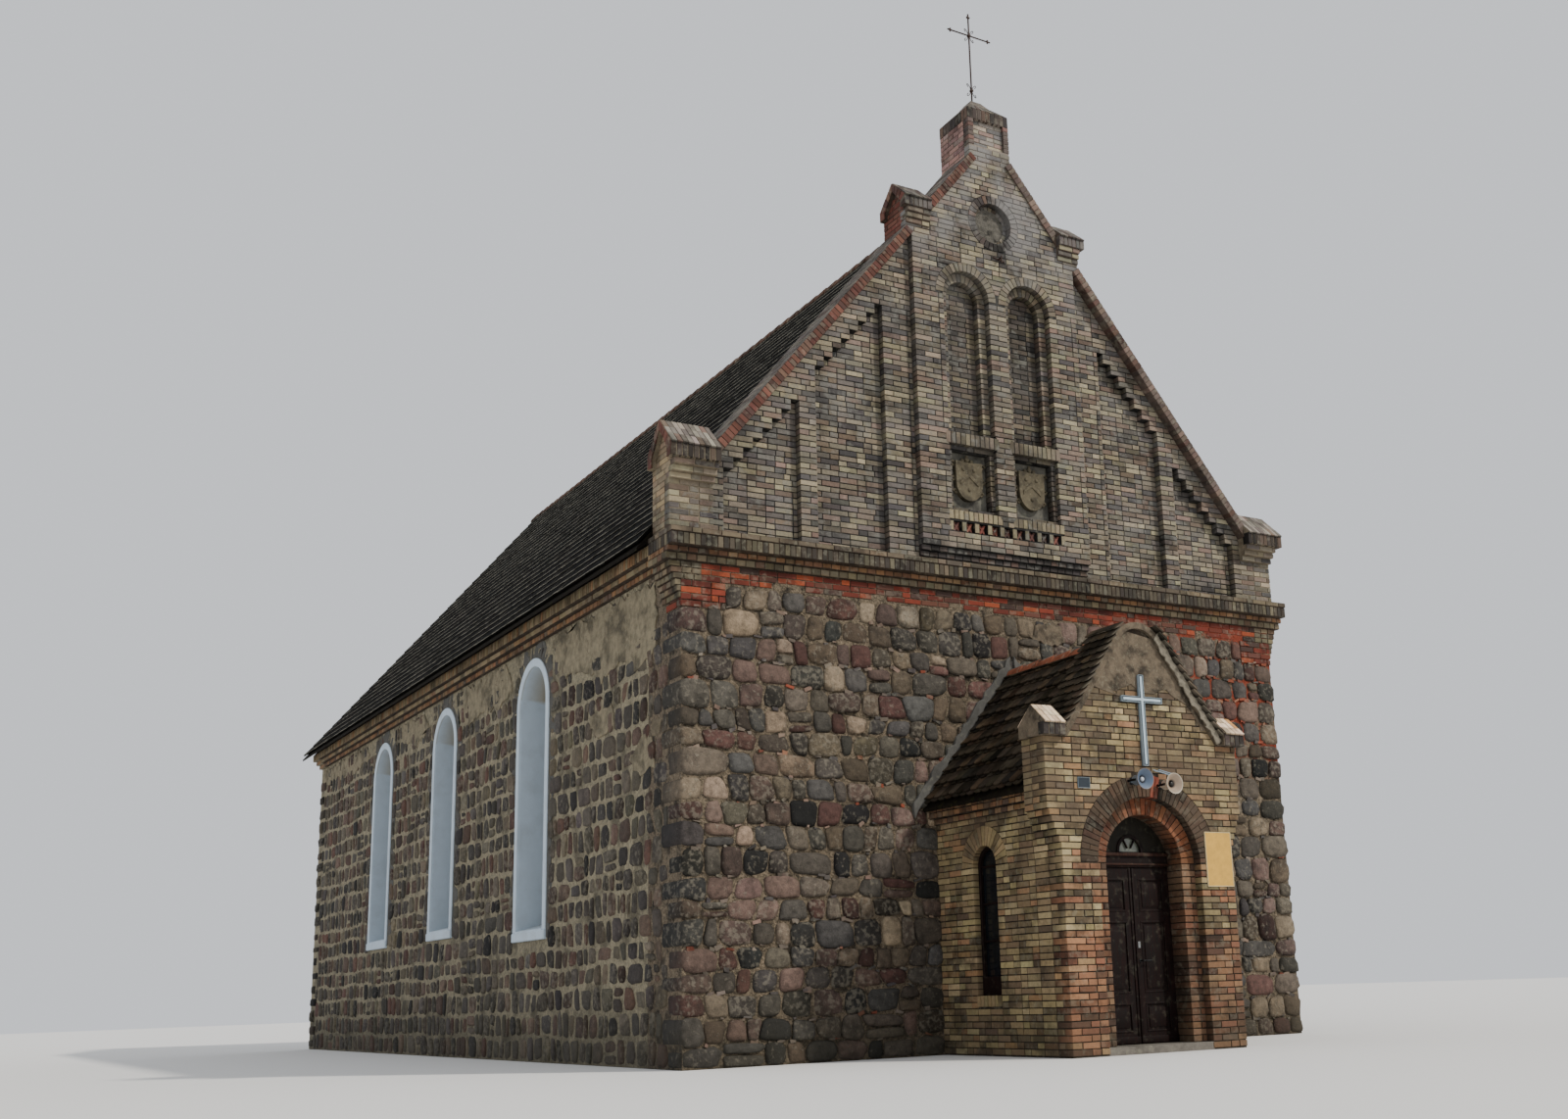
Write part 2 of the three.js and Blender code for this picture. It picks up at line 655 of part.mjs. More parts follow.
function porchSlope(offset) {
  const { apexOfLines, slope, round, roundCentre } = porchGable;
  const radius = round - offset;
  const lean = Math.atan(1 / slope);
  const top = arc(0, roundCentre, radius, lean, Math.PI - lean);
  const line = apexOfLines - slant(slope, offset);
  const foot = (line - porchCoping.low) / slope;
  return [[foot, porchCoping.low], ...top, [-foot, porchCoping.low]];
}

// Wall over the doorway of the porch, with its two arches, corbelled shoulders and gable
function addPorchGable() {
  const right = [[porch.halfWidth, porch.spring], [porch.halfWidth, porchCorbel.low]];
  for (let i = 1; i <= porchCorbel.count; i++) {
    const out = porch.halfWidth + i * porchCorbel.step;
    const low = porchCorbel.low + (i - 1) * courseHeight;
    right.push([out, low], [out, low + courseHeight]);
  }
  const widest = porch.halfWidth + porchCorbel.count * porchCorbel.step;
  right.push([widest, porchCoping.low]);
  const outline = [...right, ...porchSlope(porchGable.coping), ...mirrored(right)];
  const wall = alongY(outline, porch.front, porch.back);

  const shoulder = porch.front + doorway.outerDepth;
  const frameFront = porch.back - doorway.frameDepth;
  const arch = (half) => roundHeaded(0, half, porch.spring - past, porch.spring);
  const removed = [
    alongY(arch(doorway.outer), porch.front - past, shoulder),
    alongY(arch(doorway.inner), porch.front - past, porch.back + past),
    alongY(arch(doorway.rebate), frameFront, porch.back + past),
  ];
  add("porch_gable", shaped(wall, [], removed), paleBrick);
}

// Rendered coping with a rounded top and a small gabled cap at each foot
function addPorchCoping() {
  const inner = porchSlope(porchGable.coping - seat);
  const strip = [...porchSlope(0), ...inner.reverse()];
  const heights = { foot: porchCoping.low, ...porchCapHeights };
  const caps = [-1, 1].map((side) => {
    const { inner: near, outer: far } = porchCap;
    const range = side > 0 ? [near - overlap, far] : [-far, overlap - near];
    return alongX(gabledCap(porchCap, heights), range[0], range[1]);
  });
  const coping = alongY(strip, porchCoping.front, porchCoping.back);
  add("porch_coping", shaped(coping, caps, []), render);
}

function addPorchFloor() {
  const inside = porch.halfWidth - porch.wall;
  const right = [...jambPlan(), [inside, porch.back], [inside, 0]];
  add("porch_floor", alongZ(bothSides(right), 0, nave.floorTop), floorStone);
}

// The round part of a hinge on its axis, and the strap that fixes it to the frame or the leaf
function hingePart(side, away, low) {
  const axis = doorway.inner - hinge.fromJamb;
  const back = porch.back;
  const round = new THREE.CylinderGeometry(hinge.radius, hinge.radius, hinge.height, hinge.sides);
  round.rotateX(Math.PI / 2);
  round.translate(side * axis, back + hinge.behind, low + hinge.height / 2);
  const near = axis - hinge.fromJamb;
  const across = away > 0 ? [axis, axis + hinge.strap] : [near - hinge.strap, near];
  const plan = sideOf(rectangle(across[0], across[1], back - overlap, back + hinge.thick), side);
  return [round, alongZ(plan, low, low + hinge.height)];
}

// Wooden frame in the rebate: posts, transom and the boarded head with a fanlight
function addDoorFrame() {
  const outer = doorway.rebate - seat;
  const front = porch.back - doorway.frameDepth;
  const outline = [
    [-outer, nave.floorTop],
    [-doorway.inner, nave.floorTop],
    [-doorway.inner, transom.low],
    [doorway.inner, transom.low],
    [doorway.inner, nave.floorTop],
    [outer, nave.floorTop],
    ...arc(0, porch.spring, outer, 0, Math.PI),
  ];
  const fan = arc(0, fanlight.low, fanlight.radius, 0, Math.PI);
  const frame = alongY(outline, front, porch.back, [fan]);
  const half = Math.sqrt(doorway.inner ** 2 - (transom.high - porch.spring) ** 2) - transom.endGap;
  const rail = rectangle(-half, half, transom.low, transom.high);
  const proudRail = alongY(rail, front - transom.proud, front + transom.proud);
  const pintles = [-1, 1].flatMap((side) =>
    hingeHeights.flatMap((height) => hingePart(side, 1, height - hinge.height - seat)),
  );
  add("door_frame", shaped(frame, [proudRail, ...pintles], []), darkWood);
  const pane = arc(0, fanlight.low + seat, fanlight.radius - 2 * seat, 0, Math.PI);
  add("fanlight", alongY(pane, fanlight.front, fanlight.back), windowGlass);
}

// Two leaves with three sunk panels each
function addDoorLeaves() {
  const front = porch.back - doorway.frameDepth;
  const low = nave.floorTop + leaf.floorGap;
  const near = leaf.middleGap;
  const far = doorway.inner - leaf.hingeGap;
  const inLow = low + leafFrame.rail;
  const inHigh = leaf.top - leafFrame.rail;
  for (const [name, side] of [["door_leaf_left", -1], ["door_leaf_right", 1]]) {
    const board = alongY(sideOf(rectangle(near, far, low, leaf.top), side), front, porch.back);
    const removed = leafPanels.map(([from, to]) => {
      const bottom = inLow + from * (inHigh - inLow);
      const top = inLow + to * (inHigh - inLow);
      const panel = rectangle(near + leafFrame.stile, far - leafFrame.stile, bottom, top);
      return alongY(sideOf(panel, side), front - past, front + leaf.panelDepth);
    });
    const knuckles = hingeHeights.flatMap((height) => hingePart(side, -1, height));
    add(name, shaped(board, knuckles, removed), darkWood);
  }
}

function addPorchCross() {
  const { low, high, arm, reach, bar, depth } = porchCross;
  const half = bar / 2;
  const right = [
    [half, low],
    [half, arm - half],
    [reach, arm - half],
    [reach, arm + half],
    [half, arm + half],
    [half, high],
  ];
  add("porch_cross", alongY(bothSides(right), porch.front - depth, porch.front), whitePaint);
}

function addSpeakers() {
  const profile = speakerProfile.map(([radius, out]) => new THREE.Vector2(radius, porch.front - out));
  for (const [name, x, z] of speakers) {
    add(name, new THREE.LatheGeometry(profile, speakerSides).translate(x, 0, z), greyPlastic);
  }
}

addFrontWalls();
addSideWalls();
addEastEnd();
addNaveFloor();
addNaveWindows();
addFrontCornice();
addEavesCornices();
addGableWall();
addMiddleBay();
addKneelers();
addGableCopings();
addPinnacle();
addIronCross();
addRoofs();
addPorchWalls();
addPorchPiers();
addPorchGable();
addPorchCoping();
addPorchFloor();
addDoorFrame();
addDoorLeaves();
addPorchCross();
addSpeakers();

// The origin lies on the ground, under the middle of the whole building
const extent = new THREE.Box3().setFromObject(building);
building.position.y = -(extent.min.y + extent.max.y) / 2;

const church = new THREE.Group();
church.name = "church";
church.add(building);

export default church;
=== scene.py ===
import math
from contextlib import contextmanager
from fnmatch import fnmatch

import bmesh
import bpy
import numpy as np
from mathutils import Matrix, Vector


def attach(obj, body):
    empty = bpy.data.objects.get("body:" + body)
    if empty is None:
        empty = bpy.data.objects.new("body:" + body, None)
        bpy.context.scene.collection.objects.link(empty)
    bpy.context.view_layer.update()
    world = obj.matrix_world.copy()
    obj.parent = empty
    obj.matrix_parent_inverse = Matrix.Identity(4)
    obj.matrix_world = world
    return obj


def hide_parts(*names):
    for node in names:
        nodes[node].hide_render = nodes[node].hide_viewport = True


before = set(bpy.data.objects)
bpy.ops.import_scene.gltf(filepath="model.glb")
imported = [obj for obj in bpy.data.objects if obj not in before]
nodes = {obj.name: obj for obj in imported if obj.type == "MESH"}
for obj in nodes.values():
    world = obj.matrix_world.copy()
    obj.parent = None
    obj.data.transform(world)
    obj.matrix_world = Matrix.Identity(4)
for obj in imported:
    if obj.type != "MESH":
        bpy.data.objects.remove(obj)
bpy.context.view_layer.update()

frontY = -8.45  # the west front stands here; y below is counted from it
sides = (("left", -1), ("right", 1))

# Where the building is seen from, with the picture's size and its vanishing centre in pixels
viewpoint = {
    "place": (-12.602, -25.876, 0.818), "yaw": 0.559, "pitch": 0.232, "roll": -0.035,
    "focal": 1634.37, "centre": (921.0, 623.0), "size": (1600, 1142),
}
studio = {
    "floor": 90.0, "floorColour": (0.74, 0.73, 0.71), "sky": (0.92, 0.95, 1.0), "skyStrength": 0.88,
    "sunFrom": (0.42, -0.60, 0.68), "sunStrength": 2.9, "sunAngle": 3.0, "sunColour": (1.0, 0.95, 0.86),
}


def deselectAll():
    if bpy.context.mode != "OBJECT":
        bpy.ops.object.mode_set(mode="OBJECT")
    bpy.ops.object.select_all(action="DESELECT")


def makeActive(piece):
    deselectAll()
    piece.select_set(True)
    bpy.context.view_layer.objects.active = piece


def settle(piece):
    makeActive(piece)
    bpy.ops.object.transform_apply(location=True, rotation=True, scale=True)
    return piece


def addBox(low, high):
    deselectAll()
    size = [b - a for a, b in zip(low, high)]
    middle = [(a + b) / 2 for a, b in zip(low, high)]
    bpy.ops.mesh.primitive_cube_add(size=1, location=middle, scale=size)
    return settle(bpy.context.object)


# A round rod that lies from front to back
def addRod(middle, radius, length, sideCount, ends="NGON"):
    deselectAll()
    bpy.ops.mesh.primitive_cylinder_add(
        vertices=sideCount, radius=radius, depth=length, location=tuple(middle), rotation=(math.pi / 2, 0, 0),
        end_fill_type=ends)
    return settle(bpy.context.object)


# A ball that is flatter from front to back
def addBall(middle, radius, segments, flat):
    deselectAll()
    bpy.ops.mesh.primitive_uv_sphere_add(
        segments=segments, ring_count=segments // 2, radius=radius, location=tuple(middle))
    ball = settle(bpy.context.object)
    with editing(ball):
        bpy.ops.transform.resize(value=(1, flat, 1), center_override=tuple(middle))
    return ball


# A round wire along a line of points
def bendWire(points, radius, rounding, hasCaps=False):
    curve = bpy.data.curves.new("wire", "CURVE")
    curve.dimensions = "3D"
    curve.bevel_depth = radius
    curve.bevel_resolution = rounding
    curve.use_fill_caps = hasCaps
    line = curve.splines.new("POLY")
    line.points.add(len(points) - 1)
    for place, point in zip(line.points, points):
        place.co = (*point, 1)
    wire = bpy.data.objects.new("wire", curve)
    bpy.context.scene.collection.objects.link(wire)
    makeActive(wire)
    bpy.ops.object.convert(target="MESH")
    return bpy.context.object


# Edit mode with everything selected, or with the parts of one kind that pass a test
@contextmanager
def editing(piece, kind="VERT", test=None):
    makeActive(piece)
    bpy.ops.object.mode_set(mode="EDIT")
    if test:
        bpy.ops.mesh.select_mode(type=kind)
    bpy.ops.mesh.select_all(action="DESELECT" if test else "SELECT")
    if test:
        shape = bmesh.from_edit_mesh(piece.data)
        parts = {"VERT": shape.verts, "EDGE": shape.edges, "FACE": shape.faces}[kind]
        for part in [part for part in parts if test(part)]:
            part.select_set(True)
        bmesh.update_edit_mesh(piece.data)
    yield
    bpy.ops.object.mode_set(mode="OBJECT")


def middleOf(edge):
    return (edge.verts[0].co + edge.verts[1].co) / 2


def riseOf(edge):
    return abs(edge.verts[0].co.z - edge.verts[1].co.z)


def push(x, y, z):
    bpy.ops.mesh.extrude_region_move(TRANSFORM_OT_translate={"value": (x, y, z)})


# Steps the faces that look west in or out; each step is an inset and a shift
def stepFront(piece, *steps, merge=False):
    with editing(piece, "FACE", lambda face: face.normal.y < -0.9):
        if merge:
            bpy.ops.mesh.dissolve_faces()
        for inward, shift in steps:
            bpy.ops.mesh.inset(thickness=inward)
            bpy.ops.transform.translate(value=(0, shift, 0))


def finishShape(piece):
    with editing(piece):
        bpy.ops.mesh.remove_doubles(threshold=0.0002)
        bpy.ops.mesh.normals_make_consistent(inside=False)
    return piece


# Applies one modifier to a piece
def modify(piece, kind, **settings):
    makeActive(piece)
    modifier = piece.modifiers.new(kind.lower(), kind)
    for name, value in settings.items():
        setattr(modifier, name, value)
    bpy.ops.object.modifier_apply(modifier=modifier.name)
    return piece


def bevelPiece(piece, width, segments=1, angle=30):
    limit = math.radians(angle)
    return modify(piece, "BEVEL", width=width, segments=segments, limit_method="ANGLE", angle_limit=limit)


def combineWith(piece, other, operation):
    modify(piece, "BOOLEAN", operation=operation, solver="EXACT", object=other)
    bpy.data.objects.remove(other)
    return finishShape(piece)


def dress(piece, name, finish, body="church"):
    piece.name = name
    piece.data.name = name
    piece.data.materials.clear()
    piece.data.materials.append(finishes[finish])
    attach(piece, body)
    return piece


def joined(parts):
    deselectAll()
    for part in parts:
        part.select_set(True)
    bpy.context.view_layer.objects.active = parts[0]
    bpy.ops.object.join()
    return bpy.context.object


def smooth(piece, angle=35):
    makeActive(piece)
    bpy.ops.object.shade_smooth_by_angle(angle=math.radians(angle))
    return piece


def linear(colour):
    return [c / 12.92 if c <= 0.04045 else ((c + 0.055) / 1.055) ** 2.4 for c in colour]


# The colour and the wear of each point, which the finishes read
def markPoints(mesh, tints, wears):
    tint = mesh.attributes.new("tint", "FLOAT_COLOR", "POINT")
    tint.data.foreach_set("color", np.column_stack((tints, np.ones(len(tints)))).ravel())
    wear = mesh.attributes.new("wear", "FLOAT", "POINT")
    wear.data.foreach_set("value", wears)


def tintPiece(piece, colourAt):
    corners = piece.data.vertices
    markPoints(piece.data, [linear(colourAt(corner.co)) for corner in corners], np.full(len(corners), 0.5))


# Camera, floor and light
def setStage():
    yaw, pitch, roll = viewpoint["yaw"], viewpoint["pitch"], viewpoint["roll"]
    ahead = Vector((math.sin(yaw) * math.cos(pitch), math.cos(yaw) * math.cos(pitch), math.sin(pitch)))
    side = Vector((math.cos(yaw), -math.sin(yaw), 0))
    above = side.cross(ahead)
    right = side * math.cos(roll) + above * math.sin(roll)
    up = above * math.cos(roll) - side * math.sin(roll)
    turn = Matrix((right, up, -ahead)).transposed().to_4x4()
    width, height = viewpoint["size"]
    sensor = 36
    deselectAll()
    bpy.ops.object.camera_add(location=(0, 0, 0))
    camera = bpy.context.object
    camera.matrix_world = Matrix.Translation(viewpoint["place"]) @ turn
    camera.data.sensor_width = sensor
    camera.data.lens = sensor * viewpoint["focal"] / width
    camera.data.shift_x = (width / 2 - viewpoint["centre"][0]) / width
    camera.data.shift_y = (viewpoint["centre"][1] - height / 2) / width
    camera.data.clip_end = 500
    bpy.context.scene.camera = camera

    bpy.ops.mesh.primitive_plane_add(size=2 * studio["floor"], location=(0, 0, -0.002))
    floor = bpy.context.object
    floor.name = "studioFloor"
    paint = bpy.data.materials.new("studioFloor")
    paint.use_nodes = True
    surface = paint.node_tree.nodes["Principled BSDF"]
    surface.inputs["Base Color"].default_value = (*studio["floorColour"], 1)
    surface.inputs["Roughness"].default_value = 0.9
    floor.data.materials.append(paint)

    bpy.ops.object.light_add(type="SUN", location=(0, 0, 30))
    sun = bpy.context.object
    sun.matrix_world = Vector(studio["sunFrom"]).to_track_quat("Z", "Y").to_matrix().to_4x4()
    sun.data.energy = studio["sunStrength"]
    sun.data.angle = math.radians(studio["sunAngle"])
    sun.data.color = studio["sunColour"]

    world = bpy.data.worlds.new("studio")
    world.use_nodes = True
    sky = world.node_tree.nodes["Background"]
    sky.inputs["Color"].default_value = (*studio["sky"], 1)
    sky.inputs["Strength"].default_value = studio["skyStrength"]
    bpy.context.scene.world = world


setStage()
print("stage: camera, floor and light are set")

# Shapes that are repeated: each is modelled once here and copied into joined pieces later.
# Its first two directions run from 0 to 1 over the copy's four corners, the third from back to front.
shapes = {}
brickSize = {"course": 0.077, "joint": 0.013, "high": 0.064, "proud": 0.009, "rim": 0.004, "chamfer": 0.03}
brickLengths = {"long": 0.25, "mid": 0.18, "short": 0.12, "stub": 0.065}
brickKinds = 3
stoneKinds = 8


def keepShape(piece, name, length=1, height=1):
    mesh = piece.data
    points = np.empty(len(mesh.vertices) * 3)
    mesh.vertices.foreach_get("co", points)
    corners = np.empty(len(mesh.loops), dtype=np.int32)
    mesh.loops.foreach_get("vertex_index", corners)
    counts = np.empty(len(mesh.polygons), dtype=np.int32)
    mesh.polygons.foreach_get("loop_total", counts)
    points = points.reshape(-1, 3) / (length, height, 1)
    shapes[name] = {"points": points, "corners": corners, "counts": counts}
    bpy.data.objects.remove(piece)


def raiseFace(piece, inward, height):
    top = max(corner.co.z for corner in piece.data.vertices)

    def isTop(face):
        return face.normal.z > 0.9 and face.calc_center_median().z > top - 0.001

    with editing(piece, "FACE", isTop):
        bpy.ops.mesh.inset(thickness=inward)
        bpy.ops.transform.translate(value=(0, 0, height))


def nudge(piece, amount, seed, test):
    with editing(piece, "VERT", test):
        bpy.ops.transform.vertex_random(offset=amount, uniform=1.0, normal=0.0, seed=seed)


def modelBricks():
    for name, length in brickLengths.items():
        for turn in range(brickKinds):
            piece = addBox((0, 0, 0), (length, brickSize["high"], 0.9))
            raiseFace(piece, brickSize["rim"], 0.1)
            nudge(piece, 0.0022, 10 * turn + int(100 * length), lambda corner: corner.co.z > 0.5)
            keepShape(piece, f"{name}{turn}", length, brickSize["high"])


def modelStones():
    rng = np.random.default_rng(5)
    for turn in range(stoneKinds):
        piece = addBox((0, 0, 0), (1, 1, 0.6))
        for x, y in ((0, 0), (1, 0), (1, 1), (0, 1)):
            def isUpright(edge):
                middle = middleOf(edge)
                return abs(middle.x - x) + abs(middle.y - y) < 0.01 and riseOf(edge) > 0.5

            with editing(piece, "EDGE", isUpright):
                bpy.ops.mesh.bevel(offset=rng.uniform(0.16, 0.36), segments=2, affect="EDGES")
        raiseFace(piece, 0.040, 0.24)
        raiseFace(piece, 0.105, 0.16)
        nudge(piece, 0.044, turn, lambda corner: corner.co.z > 0.7)
        keepShape(piece, f"stone{turn}")


# Flat tiles for the nave, whose front edge has a narrow face of its own, and round-ended ones for the porch
def modelTiles():
    for name, offset, segments in (("naveTile", 0.02, 1), ("porchTile", 0.30, 3)):
        piece = addBox((0, 0, 0), (1, 1, 1))
        with editing(piece, "EDGE", lambda edge: middleOf(edge).y < 0.01 and riseOf(edge) > 0.5):
            bpy.ops.mesh.bevel(offset=offset, segments=segments, affect="EDGES")
        if name == "naveTile":
            def isFrontTop(edge):
                return min(corner.co.z for corner in edge.verts) > 0.99 and middleOf(edge).y < 0.04

            with editing(piece, "EDGE", isFrontTop):
                bpy.ops.mesh.bevel(offset=0.05, segments=1, affect="EDGES")
                bpy.ops.mesh.select_all(action="SELECT")
                bpy.ops.mesh.bisect(plane_co=(0, 0, 0.7), plane_no=(0, 0, 1))
        keepShape(piece, name)


modelBricks()
modelStones()
modelTiles()
print("shapes:", {name: len(shape["counts"]) for name, shape in shapes.items()})


# A pile lists copies as (four corners, way out, how proud, depth of the rim, depth, colour, wear) by shape
def addCopy(pile, shape, corners, out, proud, relief, depth, tint, wear):
    corners = np.array(corners, dtype=float)
    out = np.array(out, dtype=float)
    if np.dot(np.cross(corners[1] - corners[0], corners[3] - corners[0]), out) < 0:
        corners = corners[[1, 0, 3, 2]]
    pile.setdefault(shape, []).append((corners, out, proud, relief, depth, tint, wear))


# The foot is a colour painted onto copies near one level of theirs; the roofs use it for painted light, a
# painted highlight along tile edges or painted shade under tiles: colour, share, how fast it fades, level
def buildPile(pile, name, finish="brickwork", isSmooth=False, foot=(0.0, 0.0, 0.0, 0.7, 1.0, 0.0)):
    points, corners, counts, tints, wears = [], [], [], [], []
    base = 0
    for shape, copies in pile.items():
        form = shapes[shape]
        along, up, level = form["points"].T
        count, size = len(copies), len(level)
        quads, outs, prouds, reliefs, depths, colours, worn = (np.array(column) for column in zip(*copies))
        shares = ((1 - along) * (1 - up), along * (1 - up), along * up, (1 - along) * up)
        place = sum(quads[:, i, None, :] * shares[i][None, :, None] for i in range(4))
        front = prouds[:, None] - (1 - level)[None, :] * reliefs[:, None]
        lift = np.where(level[None, :] >= 0.5, front, -depths[:, None])
        points.append((place + lift[..., None] * outs[:, None, :]).reshape(-1, 3))
        corners.append((form["corners"][None, :] + np.arange(count)[:, None] * size + base).ravel())
        counts.append(np.tile(form["counts"], count))
        near = np.maximum(0, 1 - foot[4] * abs(level - foot[5])) * (level < 0.999)
        share = np.tile(foot[3] * near, count)[:, None]
        tints.append(np.repeat(colours, size, axis=0) * (1 - share) + np.array(foot[:3]) * share)
        wears.append(np.repeat(worn, size))
        base += count * size
    points, corners, counts, tints, wears = map(np.concatenate, (points, corners, counts, tints, wears))
    mesh = bpy.data.meshes.new(name)
    mesh.vertices.add(len(points))
    mesh.vertices.foreach_set("co", points.ravel())
    mesh.loops.add(len(corners))
    mesh.loops.foreach_set("vertex_index", corners.astype(np.int32))
    mesh.polygons.add(len(counts))
    mesh.polygons.foreach_set("loop_start", np.concatenate(([0], np.cumsum(counts)[:-1])).astype(np.int32))
    mesh.update(calc_edges=True)
    mesh.validate()
    markPoints(mesh, tints, wears)
    mesh.polygons.foreach_set("use_smooth", np.full(len(counts), isSmooth))
    piece = bpy.data.objects.new(name, mesh)
    bpy.context.scene.collection.objects.link(piece)
    dress(piece, name, finish)
    print(f"{name}: {sum(map(len, pile.values()))} copies, {int((counts - 2).sum())} triangles")


# Materials. A socket is fed with a number, a colour or the output of another node.
def feed(socket, value):
    if isinstance(value, (int, float)):
        socket.default_value = value
    elif isinstance(value, (tuple, list)):
        socket.default_value = (*linear(value), 1)
    else:
        socket.id_data.links.new(value, socket)


# Adds a node, in rows of eight so that none hides another
def put(tree, kind, values=None, **settings):
    made = tree.nodes.new(kind)
    made.location = (220 * (len(tree.nodes) % 8), -300 * (len(tree.nodes) // 8))
    for name, value in settings.items():
        setattr(made, name, value)
    for name, value in (values or {}).items():
        feed(made.inputs[name], value)
    return made


def blend(tree, how, factor, first, second):
    values = {0: factor, 6: first, 7: second}
    return put(tree, "ShaderNodeMix", values, data_type="RGBA", blend_type=how).outputs[2]


def combine(tree, how, first, second, clamp=False):
    return put(tree, "ShaderNodeMath", {0: first, 1: second}, operation=how, use_clamp=clamp).outputs[0]


def add(tree, first, second, clamp=False):
    return combine(tree, "ADD", first, second, clamp)


def multiply(tree, first, second):
    return combine(tree, "MULTIPLY", first, second)


# How far a value lies above or below the middle, times a gain
def swing(tree, value, gain):
    return multiply(tree, combine(tree, "SUBTRACT", value, 0.5), gain)


def spread(tree, value, low, high, newLow=0.0, newHigh=1.0):
    values = {"Value": value, "From Min": low, "From Max": high, "To Min": newLow, "To Max": newHigh}
    return put(tree, "ShaderNodeMapRange", values, interpolation_type="SMOOTHSTEP").outputs["Result"]


def noiseOf(tree, vector, scale, detail=3.0, roughness=0.55):
    values = {"Vector": vector, "Scale": scale, "Detail": detail, "Roughness": roughness}
    return put(tree, "ShaderNodeTexNoise", values).outputs["Fac"]


def placeOf(tree):
    return put(tree, "ShaderNodeTexCoord").outputs["Object"]


def newGroup(name, inputs, outputs):
    tree = bpy.data.node_groups.new(name, "ShaderNodeTree")
    for label, value in inputs.items():
        isColour = isinstance(value, tuple)
        kind = "NodeSocketColor" if isColour else "NodeSocketFloat"
        socket = tree.interface.new_socket(name=label, in_out="INPUT", socket_type=kind)
        socket.default_value = (*linear(value), 1) if isColour else value
    for label in outputs:
        kind = "NodeSocketColor" if label == "Color" else "NodeSocketFloat"
        tree.interface.new_socket(name=label, in_out="OUTPUT", socket_type=kind)
    return tree, put(tree, "NodeGroupInput").outputs, put(tree, "NodeGroupOutput").inputs


# Mottled colour with soot and lichen patches, and the height of its grain
def makeWeathering():
    inputs = {
        "Tint": (0.5, 0.5, 0.5), "Wear": 0.5, "Mottle Scale": 14.0, "Mottle": 0.35, "Grain Scale": 160.0,
        "Speckle": 0.25, "Soot": (0.08, 0.07, 0.06), "Soot Amount": 0.3, "Lichen": (0.62, 0.61, 0.52),
        "Lichen Amount": 0.2, "Patch Scale": 2.2,
    }
    tree, take, give = newGroup("weathering", inputs, ["Color", "Roughness", "Height"])
    where = placeOf(tree)
    mottle = noiseOf(tree, where, take["Mottle Scale"], 5.0, 0.6)
    grain = noiseOf(tree, where, take["Grain Scale"], 3.0, 0.6)
    patch = noiseOf(tree, where, take["Patch Scale"], 6.0, 0.62)
    spots = noiseOf(tree, where, multiply(tree, take["Patch Scale"], 5.3), 5.0)

    level = multiply(tree, swing(tree, mottle, 3.2), take["Mottle"])
    fleck = multiply(tree, swing(tree, grain, 4.0), take["Speckle"])
    gain = add(tree, add(tree, level, fleck), 1.0)
    grey = put(tree, "ShaderNodeCombineColor", {"Red": gain, "Green": gain, "Blue": gain})
    colour = blend(tree, "MULTIPLY", 1.0, take["Tint"], grey.outputs["Color"])

    worn = swing(tree, take["Wear"], 0.22)
    sooty = multiply(tree, spread(tree, add(tree, patch, worn), 0.46, 0.66), take["Soot Amount"])
    colour = blend(tree, "MIX", sooty, colour, take["Soot"])
    crust = multiply(tree, spread(tree, add(tree, spots, worn), 0.54, 0.70), take["Lichen Amount"])
    feed(give["Color"], blend(tree, "MIX", crust, colour, take["Lichen"]))
    feed(give["Roughness"], add(tree, multiply(tree, mottle, 0.2), 0.78, clamp=True))
    height = add(tree, multiply(tree, grain, 0.35), mottle)
    feed(give["Height"], add(tree, height, crust))
    return tree


# How dirty the foot of a wall is: full at the ground, gone at the given height
def makeGroundDirt():
    tree, take, give = newGroup("groundDirt", {"Reach": 0.7, "Amount": 0.6}, ["Mask"])
    where = placeOf(tree)
    split = put(tree, "ShaderNodeSeparateXYZ", {"Vector": where}).outputs
    height = add(tree, split["Z"], multiply(tree, noiseOf(tree, where, 3.0, 5.0), -0.8))
    mask = spread(tree, height, -0.4, take["Reach"], 1.0, 0.0)
    feed(give["Mask"], multiply(tree, mask, take["Amount"]))
    return tree


# A film of old mortar over bricks and joints alike: in clouds, between two heights, from one side onwards
def makeFilm():
    inputs = {"Low": 0.0, "High": 1.0, "Below": 0.0, "Above": 0.5, "Scale": 1.6, "Side": -100.0}
    tree, take, give = newGroup("film", inputs, ["Mask"])
    where = placeOf(tree)
    split = put(tree, "ShaderNodeSeparateXYZ", {"Vector": where}).outputs
    clouds = spread(tree, noiseOf(tree, where, take["Scale"], 6.0, 0.65), 0.40, 0.62)
    share = spread(tree, split["Z"], take["Low"], take["High"], take["Below"], take["Above"])
    beyond = spread(tree, split["X"], take["Side"], add(tree, take["Side"], 0.8))
    feed(give["Mask"], multiply(tree, clouds, multiply(tree, share, beyond)))
    return tree


weathering = makeWeathering()
groundDirt = makeGroundDirt()
filmClouds = makeFilm()


# Feeds a group's sockets: sootAmount goes to the one called Soot Amount
def useGroup(tree, group, **values):
    labels = {}
    for word, value in values.items():
        labels["".join(" " + letter if letter.isupper() else letter for letter in word).title()] = value
    return put(tree, "ShaderNodeGroup", labels, node_tree=group).outputs


def newMaterial(name):
    material = bpy.data.materials.new(name)
    material.use_nodes = True
    return material, material.node_tree, material.node_tree.nodes["Principled BSDF"].inputs


def addRelief(tree, surface, height, strength, distance):
    values = {"Strength": strength, "Distance": distance, "Height": height}
    feed(surface["Normal"], put(tree, "ShaderNodeBump", values).outputs["Normal"])


def readPoints(tree, name, output):
    return put(tree, "ShaderNodeAttribute", attribute_name=name).outputs[output]


